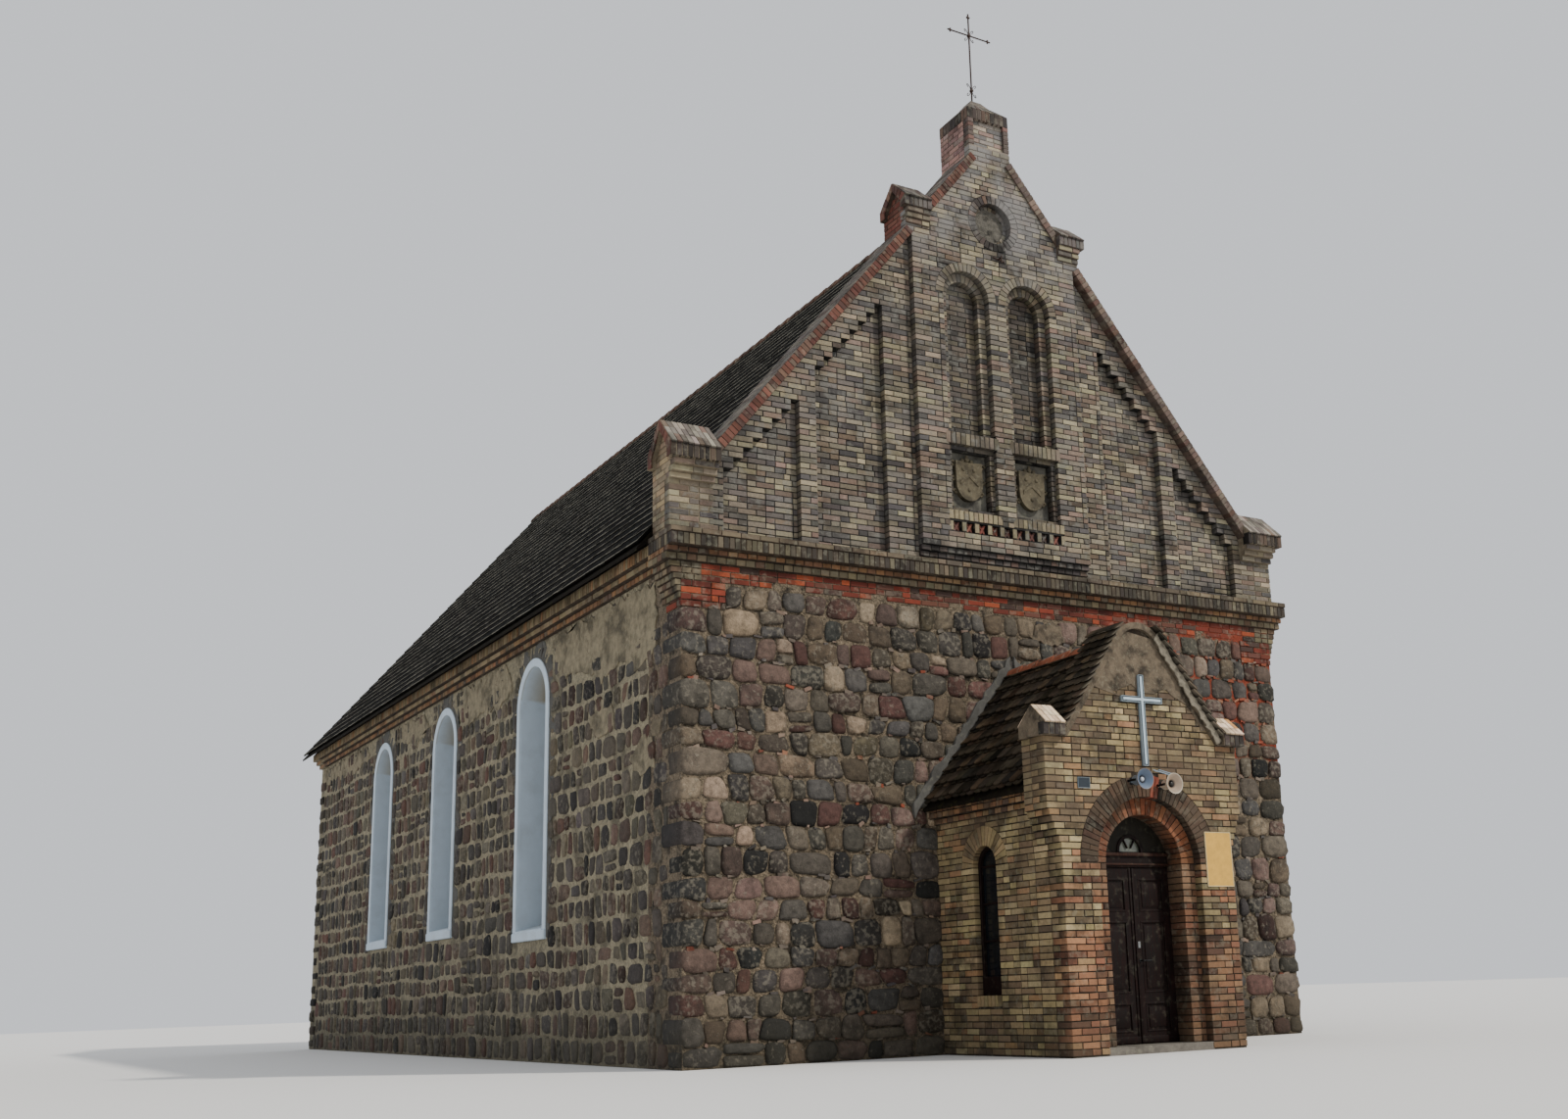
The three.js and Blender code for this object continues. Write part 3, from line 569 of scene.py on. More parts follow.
# A finish of fired clay, stone, mortar or plaster; without a colour of its own it reads the copies' tints
def mineral(name, tint=None, bump=0.5, distance=0.01, dirt=0.0, film=None, gloss=0.25, **values):
    material, tree, surface = newMaterial(name)
    if tint is None:
        tint = readPoints(tree, "tint", "Color")
        values["wear"] = readPoints(tree, "wear", "Fac")
    made = useGroup(tree, weathering, tint=tint, **values)
    colour = made["Color"]
    if dirt:
        mask = useGroup(tree, groundDirt, amount=dirt)["Mask"]
        colour = blend(tree, "MIX", mask, colour, (0.20, 0.19, 0.15))
    if film:
        clouds = {key: value for key, value in film.items() if key != "colour"}
        mask = useGroup(tree, filmClouds, **clouds)["Mask"]
        colour = blend(tree, "MIX", mask, colour, film["colour"])
    feed(surface["Base Color"], colour)
    feed(surface["Roughness"], made["Roughness"])
    feed(surface["Specular IOR Level"], gloss)
    addRelief(tree, surface, made["Height"], bump, distance)
    return material


# Paint, metal, glass or plastic: a colour with faint smears, and its own gloss
def coated(name, tint, roughness, metallic=0.0, smear=0.18, scale=9.0, bump=0.15, grime=(0.1, 0.09, 0.08),
           coat=0.0):
    material, tree, surface = newMaterial(name)
    if tint is None:
        tint = readPoints(tree, "tint", "Color")
    made = useGroup(
        tree, weathering, tint=tint, mottleScale=scale, mottle=smear, grainScale=90.0, speckle=smear / 4,
        soot=grime, sootAmount=0.5 * smear, lichenAmount=0.0)
    feed(surface["Base Color"], made["Color"])
    feed(surface["Roughness"], spread(tree, made["Roughness"], 0.8, 1.0, roughness - 0.08, roughness + 0.12))
    feed(surface["Metallic"], metallic)
    feed(surface["Coat Weight"], coat)
    addRelief(tree, surface, made["Height"], bump, 0.002)
    return material


# Stained boards: the grain runs up and down
def timber(name, tint, dark):
    material, tree, surface = newMaterial(name)
    stretch = put(tree, "ShaderNodeMapping", {"Vector": placeOf(tree)})
    stretch.inputs["Scale"].default_value = (38.0, 38.0, 2.2)
    grain = noiseOf(tree, stretch.outputs["Vector"], 2.0, 6.0, 0.6)
    stained = blend(tree, "MIX", spread(tree, grain, 0.35, 0.65), dark, tint)
    made = useGroup(tree, weathering, tint=stained, mottleScale=5.0, lichenAmount=0.06)
    feed(surface["Base Color"], made["Color"])
    feed(surface["Roughness"], spread(tree, grain, 0.3, 0.7, 0.55, 0.75))
    feed(surface["Specular IOR Level"], 0.15)
    addRelief(tree, surface, grain, 0.4, 0.002)
    return material


films = {
    "gable": dict(colour=(0.52, 0.51, 0.50), low=9.6, high=12.2, below=0.10, above=0.75, scale=1.5),
    "porch": dict(colour=(0.36, 0.305, 0.25), low=1.6, high=3.0, below=0.15, above=0.60, scale=1.9),
    "rubble": dict(colour=(0.53, 0.245, 0.17), low=3.4, high=4.3, above=2.2, scale=3.6, side=1.4),
}
plain = dict(bump=0.6, mottle=0.4, sootAmount=0.5)
patchy = dict(bump=1.0, mottleScale=9.0, mottle=0.5, sootAmount=0.6)
minerals = {
    "fieldstone": dict(bump=0.9, distance=0.02, dirt=0.45, mottleScale=13.0, mottle=0.60, grainScale=90.0,
                       speckle=0.34, sootAmount=0.5, lichen=(0.56, 0.53, 0.47), lichenAmount=0.34,
                       patchScale=3.0),
    "frontMortar": dict(tint=(0.46, 0.41, 0.34), bump=1.0, distance=0.06, dirt=0.5, mottleScale=24.0,
                        mottle=0.85, grainScale=60.0, speckle=0.65, sootAmount=0.85, patchScale=6.5,
                        film=films["rubble"]),
    "sideMortar": dict(tint=(0.575, 0.54, 0.45), bump=1.0, distance=0.05, dirt=0.6, mottleScale=18.0,
                       mottle=0.6, grainScale=70.0, speckle=0.4, sootAmount=0.6, patchScale=2.6),
    "brickwork": dict(bump=0.6, distance=0.006, dirt=0.35, mottleScale=22.0, mottle=0.22, grainScale=240.0,
                      speckle=0.12, sootAmount=0.55, lichen=(0.58, 0.57, 0.50), lichenAmount=0.22),
    "gableBrickwork": dict(bump=0.8, distance=0.008, film=films["gable"], mottleScale=26.0, mottle=0.30,
                           grainScale=200.0, speckle=0.2, sootAmount=0.6, lichen=(0.44, 0.435, 0.41),
                           lichenAmount=0.55, patchScale=1.3),
    "porchBrickwork": dict(bump=0.7, distance=0.007, dirt=0.35, film=films["porch"], mottleScale=22.0,
                           mottle=0.26, grainScale=220.0, speckle=0.14, sootAmount=0.65,
                           lichen=(0.58, 0.57, 0.50), lichenAmount=0.18),
    "pinnacleMortar": dict(plain, tint=(0.50, 0.46, 0.42)),
    "gableMortar": dict(plain, tint=(0.05, 0.046, 0.042), film=films["gable"]),
    "kneelerBed": dict(plain, tint=(0.50, 0.455, 0.38), bump=0.8),
    "corniceBed": dict(plain, tint=(0.25, 0.205, 0.165)),
    "porchMortar": dict(plain, tint=(0.12, 0.095, 0.075), dirt=0.4, film=films["porch"]),
    "redMortar": dict(tint=(0.33, 0.28, 0.245), mottle=0.3, sootAmount=0.6),
    "rooftile": dict(distance=0.006, gloss=0.02, mottleScale=7.0, mottle=0.30, grainScale=140.0, speckle=0.15,
                     soot=(0.02, 0.018, 0.014), sootAmount=0.6, lichen=(0.22, 0.22, 0.15), lichenAmount=0.05,
                     patchScale=1.6),
    "roofBed": dict(tint=(0.11, 0.095, 0.075), bump=0.6, gloss=0.05, mottle=0.5, sootAmount=0.7,
                    lichen=(0.26, 0.27, 0.14), lichenAmount=0.25),
    "peakRender": dict(patchy, tint=(0.40, 0.355, 0.295), distance=0.018, sootAmount=0.7, patchScale=4.6),
    "sideRender": dict(patchy, tint=(0.54, 0.50, 0.41), distance=0.03, patchScale=3.0),
    "palePlaster": dict(patchy, tint=(0.52, 0.49, 0.43), distance=0.02, mottleScale=12.0, mottle=0.45,
                        patchScale=6.0),
    "roofMortar": dict(tint=(0.42, 0.41, 0.38), bump=0.9, distance=0.02, mottle=0.4, sootAmount=0.7),
    "limewash": dict(bump=0.4, distance=0.006, mottleScale=6.0, mottle=0.06, speckle=0.03,
                     soot=(0.55, 0.55, 0.53), sootAmount=0.16, lichenAmount=0.0),
    "cement": dict(tint=(0.33, 0.325, 0.31), bump=0.7, distance=0.012, mottleScale=12.0, mottle=0.25,
                   sootAmount=0.3, lichenAmount=0.15),
    "plaster": dict(tint=(0.375, 0.365, 0.335), bump=0.7, mottle=0.35, sootAmount=0.6),
    "roughPlaster": dict(tint=(0.38, 0.365, 0.335), bump=1.0, distance=0.03, mottleScale=11.0, mottle=0.6,
                         sootAmount=0.8, patchScale=7.0),
    "carvedStone": dict(tint=(0.355, 0.325, 0.26), bump=0.7, mottle=0.3, sootAmount=0.55, patchScale=6.0,
                        lichenAmount=0.2),
    "pavedFloor": dict(tint=(0.42, 0.40, 0.37), mottle=0.3, sootAmount=0.4),
    "ridgeTile": dict(tint=(0.34, 0.25, 0.20), mottleScale=5.0, mottle=0.5, sootAmount=0.6, lichenAmount=0.4),
    "redRidgeTile": dict(tint=(0.56, 0.33, 0.24), mottleScale=6.0, mottle=0.4, sootAmount=0.5,
                         lichenAmount=0.5),
}
timbers = {
    "darkWood": dict(tint=(0.105, 0.042, 0.033), dark=(0.05, 0.022, 0.018)),
    "brownWood": dict(tint=(0.24, 0.145, 0.11), dark=(0.14, 0.085, 0.065)),
    "oliveBoard": dict(tint=(0.14, 0.125, 0.095), dark=(0.09, 0.082, 0.064)),
    "windowWood": dict(tint=(0.22, 0.18, 0.15), dark=(0.12, 0.10, 0.085)),
}
coats = {
    "windowGlass": dict(tint=(0.07, 0.085, 0.10), roughness=0.14, smear=0.25, scale=2.5, bump=0.05, coat=0.3),
    "paleGlass": dict(tint=(0.38, 0.39, 0.35), roughness=0.2, smear=0.2, scale=5.0, bump=0.05, coat=0.3),
    "rustyIron": dict(tint=(0.20, 0.125, 0.09), roughness=0.72, metallic=0.35, smear=0.6, scale=30.0,
                      bump=0.6),
    "whitePaint": dict(tint=(0.68, 0.75, 0.80), roughness=0.36, smear=0.10, scale=12.0,
                       grime=(0.45, 0.45, 0.45)),
    "tintedPaint": dict(tint=None, roughness=0.40, smear=0.16, scale=14.0, grime=(0.3, 0.27, 0.24)),
    "greyPaint": dict(tint=(0.44, 0.45, 0.45), roughness=0.45, smear=0.2, scale=20.0),
    "darkMetal": dict(tint=(0.10, 0.10, 0.105), roughness=0.5, metallic=0.6, smear=0.3),
}
finishes = {}
for make, table in ((mineral, minerals), (timber, timbers), (coated, coats)):
    for name, values in table.items():
        finishes[name] = make(name, **values)
print("finishes:", len(finishes))

# Which finish each CAD node wears
nodeFinishes = {
    "front_wall_*": "frontMortar", "nave_*_wall": "sideMortar", "east_wall": "sideMortar",
    "east_gable": "sideMortar", "*_floor": "pavedFloor", "*window*": "windowGlass", "fanlight": "paleGlass",
    "gable_wall": "gableMortar", "middle_bay": "gableMortar", "*cornice*": "corniceBed",
    "eaves_kneeler_*": "kneelerBed",
    "middle_kneeler_*": "redMortar", "*_coping_*": "redMortar", "pinnacle": "pinnacleMortar",
    "porch_*_wall": "porchMortar", "porch_*_pier": "porchMortar", "porch_gable": "porchMortar",
    "*_roof_*": "roofBed", "*_ridge": "roofMortar", "porch_coping": "peakRender", "iron_cross": "rustyIron",
    "door_*": "darkWood", "porch_cross": "whitePaint", "speaker_*": "greyPaint",
}
for pattern, finish in nodeFinishes.items():
    for name in nodes:
        if fnmatch(name, pattern):
            holder = nodes[name].data
            if not holder.materials:
                holder.materials.append(finishes[finish])
            for slot in nodes[name].material_slots:
                slot.material = finishes[finish]

# Faces that copies are laid on: a is measured along, b upwards, both from the face's origin
def faceAt(origin, along, out, up=(0, 0, 1)):
    directions = {"origin": origin, "along": along, "up": up, "out": out}
    return {name: np.array(values, dtype=float) for name, values in directions.items()}


def frontFace(y):
    return faceAt((0, frontY + y, 0), (1, 0, 0), (0, -1, 0))


def backFace(y):
    return faceAt((0, frontY + y, 0), (1, 0, 0), (0, 1, 0))


def sideFace(x):
    return faceAt((x, frontY, 0), (0, 1, 0), (math.copysign(1, x), 0, 0))


def spot(face, a, b, out=0.0):
    return face["origin"] + a * face["along"] + b * face["up"] + out * face["out"]


# A line of points with more points between them, each moved a little
def roughen(points, step, amount, rng):
    rough = []
    for (a0, b0), (a1, b1) in zip(points, points[1:] + points[:1]):
        count = max(1, round(math.hypot(a1 - a0, b1 - b0) / step))
        for turn in range(count):
            share = turn / count
            a = a0 + share * (a1 - a0) + rng.normal(0, amount)
            rough.append((a, b0 + share * (b1 - b0) + rng.normal(0, amount)))
    return rough


# A flat shape with an edge of its own, standing from one depth of a face to another
def makePatch(face, outline, near, far):
    deselectAll()
    bpy.ops.mesh.primitive_circle_add(vertices=len(outline), fill_type="NGON", location=(0, 0, 0))
    patch = bpy.context.object
    for corner, (a, b) in zip(patch.data.vertices, outline):
        corner.co = Vector(spot(face, a, b, near))
    with editing(patch):
        push(*((far - near) * face["out"]))
    return finishShape(patch)


def squareOf(left, right, low, high):
    return [(left, low), (right, low), (right, high), (left, high)]


# Spans are (from, to, depth at the first end, depth at the last end) at one height of a face
def cutSpans(spans, left, right, deep=0.0):
    kept = []
    for first, last, deepFirst, deepLast in spans:
        if right <= first or left >= last:
            kept.append((first, last, deepFirst, deepLast))
            continue
        if left > first:
            kept.append((first, left, deepFirst, deep))
        if right < last:
            kept.append((right, last, deep, deepLast))
    return kept


def oneSpan(left, right, deepLeft=0.0, deepRight=0.0):
    return lambda height: [(left, right, deepLeft, deepRight)]


def archHalf(height, half, low, spring, crown=None):
    crown = half if crown is None else crown
    if height < low or height >= spring + crown:
        return 0.0
    if height <= spring:
        return half
    return math.sqrt(crown * crown - (height - spring) ** 2)


def cutArch(spans, height, centre, half, low, spring, crown, deep):
    width = archHalf(height, half, low, spring, crown)
    if not width:
        return spans
    return cutSpans(spans, centre - width, centre + width, deep if height <= spring else 0.0)


# A look is a choice of tints, each a colour in thousandths and its share in percent, and how its bricks or
# stones are laid: the share of headers after a stretcher, or a stone's joint, bed wave, share of split ones
usualLook = {
    "spread": 0.10, "bond": "mixed", "headers": 0.5,
    "joint": 0.016, "wave": 0.022, "split": 0.10, "proud": (0.020, 0.048),
}


def makeLook(*tints, **values):
    shares = np.array([tint[3] for tint in tints], dtype=float)
    colours = [linear([channel / 1000 for channel in tint[:3]]) for tint in tints]
    return {**usualLook, **values, "tints": tints, "linear": colours, "shares": shares / shares.sum()}


def tintOf(look, rng):
    base = look["linear"][rng.choice(len(look["linear"]), p=look["shares"])]
    light = max(0.35, 1 + rng.normal(0, look["spread"]))
    return [max(0.004, channel * light * (1 + rng.normal(0, 0.025))) for channel in base]


def addBrick(pile, face, quad, look, rng, depth=0.01, proud=None, tint=None):
    width = abs(quad[1][0] - quad[0][0] + quad[2][0] - quad[3][0]) / 2
    height = abs(quad[3][1] - quad[0][1] + quad[2][1] - quad[1][1]) / 2
    side = math.hypot(quad[1][0] - quad[0][0], quad[1][1] - quad[0][1])
    rise = math.hypot(quad[3][0] - quad[0][0], quad[3][1] - quad[0][1])
    width, height = max(width, side), max(height, rise)
    corners = [spot(face, a, b) for a, b in quad]
    if height > width:
        corners = corners[1:] + corners[:1]
        width = height
    name = min(brickLengths, key=lambda kind: abs(math.log(brickLengths[kind] / max(width, 0.01))))
    level = brickSize["proud"] if proud is None else proud
    level += rng.normal(0, 0.0012)
    colour = tintOf(look, rng) if tint is None else tint
    shape = f"{name}{rng.integers(brickKinds)}"
    addCopy(pile, shape, corners, face["out"], level, brickSize["chamfer"], depth, colour, rng.random())


def brickCuts(left, right, look, rng, row):
    steps = []
    used = 0.0
    isHeader = row % 2 == 1
    while right - left - used > 0.045:
        isShort = isHeader or look["bond"] == "headers"
        step = brickLengths["short" if isShort else "long"] + brickSize["joint"]
        remain = right - left - used
        if step > remain + 0.03:
            step = remain
        steps.append(step)
        used += step
        isHeader = (not isHeader) and rng.random() < look["headers"]
    if not steps:
        return []
    if len(steps) > 1 and steps[-1] < 0.06:
        shared = (steps[-1] + steps[-2]) / 2
        steps[-2:] = [shared, shared]
    scale = (right - left) / sum(steps)
    return np.concatenate(([0], np.cumsum(steps))) * scale + left


# Courses of bricks between two heights; spans may lean at their ends as the courses rise
def layBricks(pile, face, spansAt, low, high, look, rng, firstRow=0, rows=None, deepRows=None):
    rows = rows or max(1, round((high - low) / brickSize["course"]))
    pitch = (high - low) / rows
    bed = brickSize["joint"]
    proud = brickSize["proud"]
    for row in range(rows):
        bottom = low + row * pitch + bed / 2
        top = low + (row + 1) * pitch - bed / 2
        spans = spansAt((bottom + top) / 2)
        lower, upper = spansAt(bottom), spansAt(top)
        for turn, (left, right, deepLeft, deepRight) in enumerate(spans):
            if right - left < 0.035:
                continue
            ends = [left, right, left, right]
            if len(lower) == len(spans) == len(upper):
                near = [*lower[turn][:2], *upper[turn][:2]]
                if max(abs(a - b) for a, b in zip(near, ends)) < 0.09:
                    ends = near
            if deepRows and deepLeft:
                deepLeft = deepRows[(row + firstRow) % 2]
            if deepRows and deepRight:
                deepRight = deepRows[(row + firstRow) % 2]
            cuts = brickCuts(left, right, look, rng, row + firstRow)
            for place in range(len(cuts) - 1):
                isFirst, isLast = place == 0, place == len(cuts) - 2
                a0 = a3 = cuts[place] + bed / 2
                a1 = a2 = cuts[place + 1] - bed / 2
                depth = 0.01
                if isFirst:
                    a0, a3 = min(ends[0], a1 - 0.012), min(ends[2], a2 - 0.012)
                    if deepLeft:
                        a0, a3, depth = a0 - proud, a3 - proud, deepLeft
                if isLast:
                    a1, a2 = max(ends[1], a0 + 0.012), max(ends[3], a3 + 0.012)
                    if deepRight:
                        a1, a2, depth = a1 + proud, a2 + proud, max(depth, deepRight)
                wobble = rng.normal(0, 0.0012, 4)
                heights = np.array((bottom, bottom, top, top)) + wobble
                addBrick(pile, face, list(zip((a0, a1, a2, a3), heights)), look, rng, depth)


# Bricks round an arch, each pointing to its centre
def layRing(pile, face, centre, inner, outer, start, end, look, rng, depth=0.01, width=0.077, count=None,
            inside=None):
    inside = brickSize["proud"] if inside is None else inside
    count = count or max(3, round(abs(end - start) * (inner + outer) / 2 / width))
    for place in range(count):
        first = start + (end - start) * place / count
        last = start + (end - start) * (place + 1) / count
        quad = []
        ends = ((inner, first, 1), (outer, first, 1), (outer, last, -1), (inner, last, -1))
        for radius, angle, turn in ends:
            gap = turn * 0.4 * brickSize["joint"] / radius * math.copysign(1, end - start)
            angle += gap
            reach = radius - inside if radius == inner else radius - brickSize["joint"] / 2
            quad.append((centre[0] + reach * math.cos(angle), centre[1] + reach * math.sin(angle)))
        addBrick(pile, face, quad, look, rng, depth)


# Upright bricks side by side
def layUprights(pile, face, left, right, low, high, look, rng, depth=0.01, width=0.077, proud=None, over=0.0):
    count = max(1, round((right - left) / width))
    pitch = (right - left) / count
    gap = brickSize["joint"] / 2
    for place in range(count):
        first = left + place * pitch + gap
        last = left + (place + 1) * pitch - gap
        if place == 0:
            first -= gap + over
        if place == count - 1:
            last += gap + over
        addBrick(pile, face, squareOf(first, last, low, high), look, rng, depth, proud)


stoneSize = {"rim": 0.085, "lean": 0.018, "jitter": 0.009, "longest": 0.62, "over": 0.018}


def bedWave(face, a, row, amount):
    phase = 1.7 * row + 3.1 * face["out"][0] + 5.3 * face["out"][1]
    return amount * (math.sin(1.9 * a + phase) + 0.6 * math.sin(5.1 * a + 2.3 * phase))


# Roughly coursed field stones: corners of neighbours follow the same wavy beds
def layStones(pile, face, spansAt, beds, look, rng, deepRows=None, coverAt=None):
    for row in range(len(beds) - 1):
        low, high = beds[row], beds[row + 1]
        lowWave = look["wave"] if row else 0.0
        highWave = look["wave"] if row < len(beds) - 2 else 0.0
        for left, right, deepLeft, deepRight in spansAt((low + high) / 2):
            if right - left < 0.1:
                continue
            steps = []
            usual = look["wide"] * rng.uniform(0.85, 1.25)
            while sum(steps) < right - left:
                steps.append(min(stoneSize["longest"], max(look["narrow"], rng.gamma(14.0, usual / 14.0))))
            if len(steps) > 1 and sum(steps) - (right - left) > steps[-1] / 2:
                steps.pop()
            cuts = np.concatenate(([0], np.cumsum(steps))) * (right - left) / sum(steps) + left
            leans = rng.normal(0, stoneSize["lean"], len(cuts))
            leans[0] = leans[-1] = 0
            for place in range(len(cuts) - 1):
                a0, a1 = cuts[place] - leans[place], cuts[place + 1] - leans[place + 1]
                a2, a3 = cuts[place + 1] + leans[place + 1], cuts[place] + leans[place]
                b0, b1 = (low + bedWave(face, a, row, lowWave) for a in (a0, a1))
                b2, b3 = (high + bedWave(face, a, row + 1, highWave) for a in (a2, a3))
                cells = [[(a0, b0), (a1, b1), (a2, b2), (a3, b3)]]
                depth = 0.02
                isFirst, isLast = place == 0, place == len(cuts) - 2
                if not (isFirst or isLast) and rng.random() < look["split"]:
                    share = rng.uniform(0.4, 0.6)
                    m0, m1 = b0 + share * (b3 - b0), b1 + share * (b2 - b1)
                    lower = [(a0, b0), (a1, b1), (a1, m1), (a0, m0)]
                    cells = [lower, [(a0, m0), (a1, m1), (a2, b2), (a3, b3)]]
                for cell in cells:
                    middle = np.mean(cell, axis=0)
                    cover = coverAt(*middle) if coverAt else 0.0
                    if rng.random() < 0.35 * cover:
                        continue
                    gap = look["joint"] * (rng.uniform(0.55, 1.45) + 1.6 * cover * rng.random())
                    quad = []
                    for a, b in cell:
                        x = a + math.copysign(gap / 2, middle[0] - a)
                        y = b + math.copysign(gap / 2, middle[1] - b)
                        if isFirst and deepLeft and a < middle[0]:
                            x = left - stoneSize["over"]
                        if isLast and deepRight and a > middle[0]:
                            x = right + stoneSize["over"]
                        quad.append([value + rng.normal(0, stoneSize["jitter"]) for value in (x, y)])
                    if (isFirst and deepLeft) or (isLast and deepRight):
                        depth = deepRows[row % 2] if deepRows else 0.3
                    level = rng.uniform(*look["proud"]) * (1 - 0.5 * cover)
                    corners = [spot(face, a, max(b, 0.006)) for a, b in quad]
                    shape = f"stone{rng.integers(stoneKinds)}"
                    relief = stoneSize["rim"] * rng.uniform(0.8, 1.15)
                    tint = tintOf(look, rng)
                    addCopy(pile, shape, corners, face["out"], level, relief, depth, tint, rng.random())


# Walls of field stones
fieldstone = {
    "halfWidth": 4.867,
    "length": 19.5,
    "top": 5.745,
    "redFrom": 5.40,
    "redEnd": 4.28,
    "rows": 20,
    "sideRows": 20,
    "quoins": (0.34, 0.52),
    "window": {"half": 0.58, "spring": 5.10, "band": 0.12, "patch": 0.20},
    "windows": ((5.33, 1.80), (9.88, 2.01), (14.0, 2.01)),
    "eastWindows": ((-1.75, 2.01), (1.75, 2.01)),
}
frontStone = makeLook((275, 260, 235, 20), (335, 305, 265, 20), (365, 300, 270, 19), (325, 235, 210, 9),
                      (265, 255, 245, 12), (480, 425, 355, 8), (315, 275, 225, 8), (150, 146, 142, 4),
                      narrow=0.17, wide=0.31, split=0.05, spread=0.23)
sideStone = makeLook((275, 255, 230, 22), (320, 295, 255, 20), (345, 285, 245, 20), (330, 245, 210, 8),
                     (285, 265, 250, 12), (380, 345, 285, 10), (170, 160, 155, 8), narrow=0.15, wide=0.285,
                     split=0.05, spread=0.24, joint=0.032, proud=(0.006, 0.026), wave=0.022)


def stoneBeds(top, rows, seed):
    rng = np.random.default_rng(seed)
    steps = rng.uniform(0.84, 1.16, rows)
    return np.concatenate(([0], np.cumsum(steps))) * top / steps.sum()


def windowCut(spans, height, windows, grow):
    size = fieldstone["window"]
    for centre, sill in windows:
        half = size["half"] + grow
        spans = cutArch(spans, height, centre, half, sill - grow, size["spring"], half, 0.0)
    return spans


def behindPorch(height):
    return 1.27 if height < 3.1 else max(0.0, (4.93 - height) / 1.25 - 0.05)


def layStoneWalls():
    half, length, top = fieldstone["halfWidth"], fieldstone["length"], fieldstone["top"]
    beds = stoneBeds(top, fieldstone["rows"], 11)
    quoins = fieldstone["quoins"]
    grow = fieldstone["window"]["band"] + 0.03

    def frontSpans(height):
        red = height > fieldstone["redFrom"]
        spans = [(-fieldstone["redEnd"], fieldstone["redEnd"], 0, 0)] if red else [(-half, half, 1, 1)]
        hidden = behindPorch(height)
        return cutSpans(spans, -hidden, hidden) if hidden > 0.1 else spans

    def sideSpans(height):
        row = max(0, int(np.searchsorted(beds, height)) - 1)
        start = quoins[row % 2] + 0.03
        return windowCut([(start, length - start, 0, 0)], height, fieldstone["windows"], grow)

    def eastSpans(height):
        return windowCut([(-half, half, 1, 1)], height, fieldstone["eastWindows"], grow)

    pile = {}
    layStones(pile, frontFace(0), frontSpans, beds, frontStone, np.random.default_rng(21), quoins)
    buildPile(pile, "front_wall_stones", "fieldstone", isSmooth=True)
    sideBeds = stoneBeds(5.97, fieldstone["sideRows"], 13)

    def sideCover(along, height):
        return min(1.0, max(0.0, (height - 4.5 - 0.05 * along) / 1.1))

    for word, x, seed in (("left", -half, 31), ("right", half, 41)):
        pile = {}
        rng = np.random.default_rng(seed)
        layStones(pile, sideFace(x), sideSpans, sideBeds, sideStone, rng, coverAt=sideCover)
        buildPile(pile, f"nave_{word}_wall_stones", "fieldstone", isSmooth=True)
    pile = {}
    rng = np.random.default_rng(51)
    layStones(pile, backFace(length), eastSpans, beds, sideStone, rng, quoins)

    def gableSpans(height):
        edge = (12.33 - 0.05 - height) / 1.187
        limit = 4.85 if height < 6.35 else edge
        return [(-min(limit, edge), min(limit, edge), 0, 0)] if edge > 0.15 else []

    upper = stoneBeds(12.2 - top, 20, 12) + top
    layStones(pile, backFace(length), gableSpans, upper, sideStone, rng)
    buildPile(pile, "east_wall_stones", "fieldstone", isSmooth=True)


layStoneWalls()
print("stage: stones are laid")

# Brickwork of the west gable
course = brickSize["course"]
gableLines = {"apex": 13.06, "slope": 1.24, "under": 12.869, "foot": 4.43, "pier": 5.02, "sill": 6.44}
panels = ({"outer": 4.30, "inner": 3.18, "low": 7.28}, {"outer": 2.95, "inner": 1.86, "low": 8.90})
bay = {"half": 1.403, "foot": 6.60, "pierFoot": 11.13, "capFoot": 11.48, "capHalf": 1.13, "pier": 1.50}
niche = {"centre": 0.535, "half": 0.395, "inner": 0.275, "sill": 8.27, "spring": 10.325}
crest = {"low": 7.13, "high": 8.10, "inner": 0.325, "innerLow": 7.20, "innerHigh": 8.03}
checks = {"count": 9, "pitch": 0.211, "width": 0.135, "low": 6.84, "high": 6.98}
roundel = {"height": 11.58, "radius": 0.32, "inner": 0.26}
gableBrick = makeLook((460, 425, 365, 36), (550, 510, 420, 20), (470, 400, 350, 11), (300, 285, 275, 9),
                      (380, 355, 330, 16), (390, 335, 285, 8), headers=0.75, spread=0.15)
darkBrick = makeLook((220, 200, 190, 50), (300, 260, 240, 30), (360, 290, 250, 20), bond="headers",
                     spread=0.12)
lintelBrick = makeLook((455, 420, 350, 60), (440, 395, 335, 40), bond="headers", spread=0.04)
creamBrick = makeLook((530, 485, 385, 100), spread=0.07)
redBrick = makeLook((420, 245, 205, 40), (360, 220, 190, 30), (460, 300, 245, 20), (290, 220, 200, 10),
                    spread=0.12)
ringBrick = makeLook((430, 400, 330, 55), (470, 430, 350, 25), (370, 335, 290, 20), spread=0.06)
# Bricks for the backs and jambs of the niches and shield recesses: the gable's kinds painted darker, as
# painted shade in the recesses
recessShadeBrick = makeLook((335, 300, 260, 40), (390, 355, 290, 20), (285, 260, 235, 30), (220, 210, 200, 10),
                      headers=0.75, spread=0.14)
deepReveal = 0.12 + 0.004


def mirrorSpans(spans):
    return [(-right, -left, deepRight, deepLeft) for left, right, deepLeft, deepRight in reversed(spans)]


def bothSides(rightSpans):
    return lambda height: mirrorSpans(rightSpans(height)) + rightSpans(height)


def panelEdge(panel, height):
    if height < gableLines["sill"]:
        return 0.0
    step = 2 * course
    taken = math.floor((height - panel["low"]) / step) + 1 if height >= panel["low"] else 0
    run = (panel["outer"] - panel["inner"]) / 8
    return panel["outer"] - taken * run if taken < 8 else 0.0


def slopeEdge(height, line=gableLines["under"]):
    return (line - height) / gableLines["slope"]


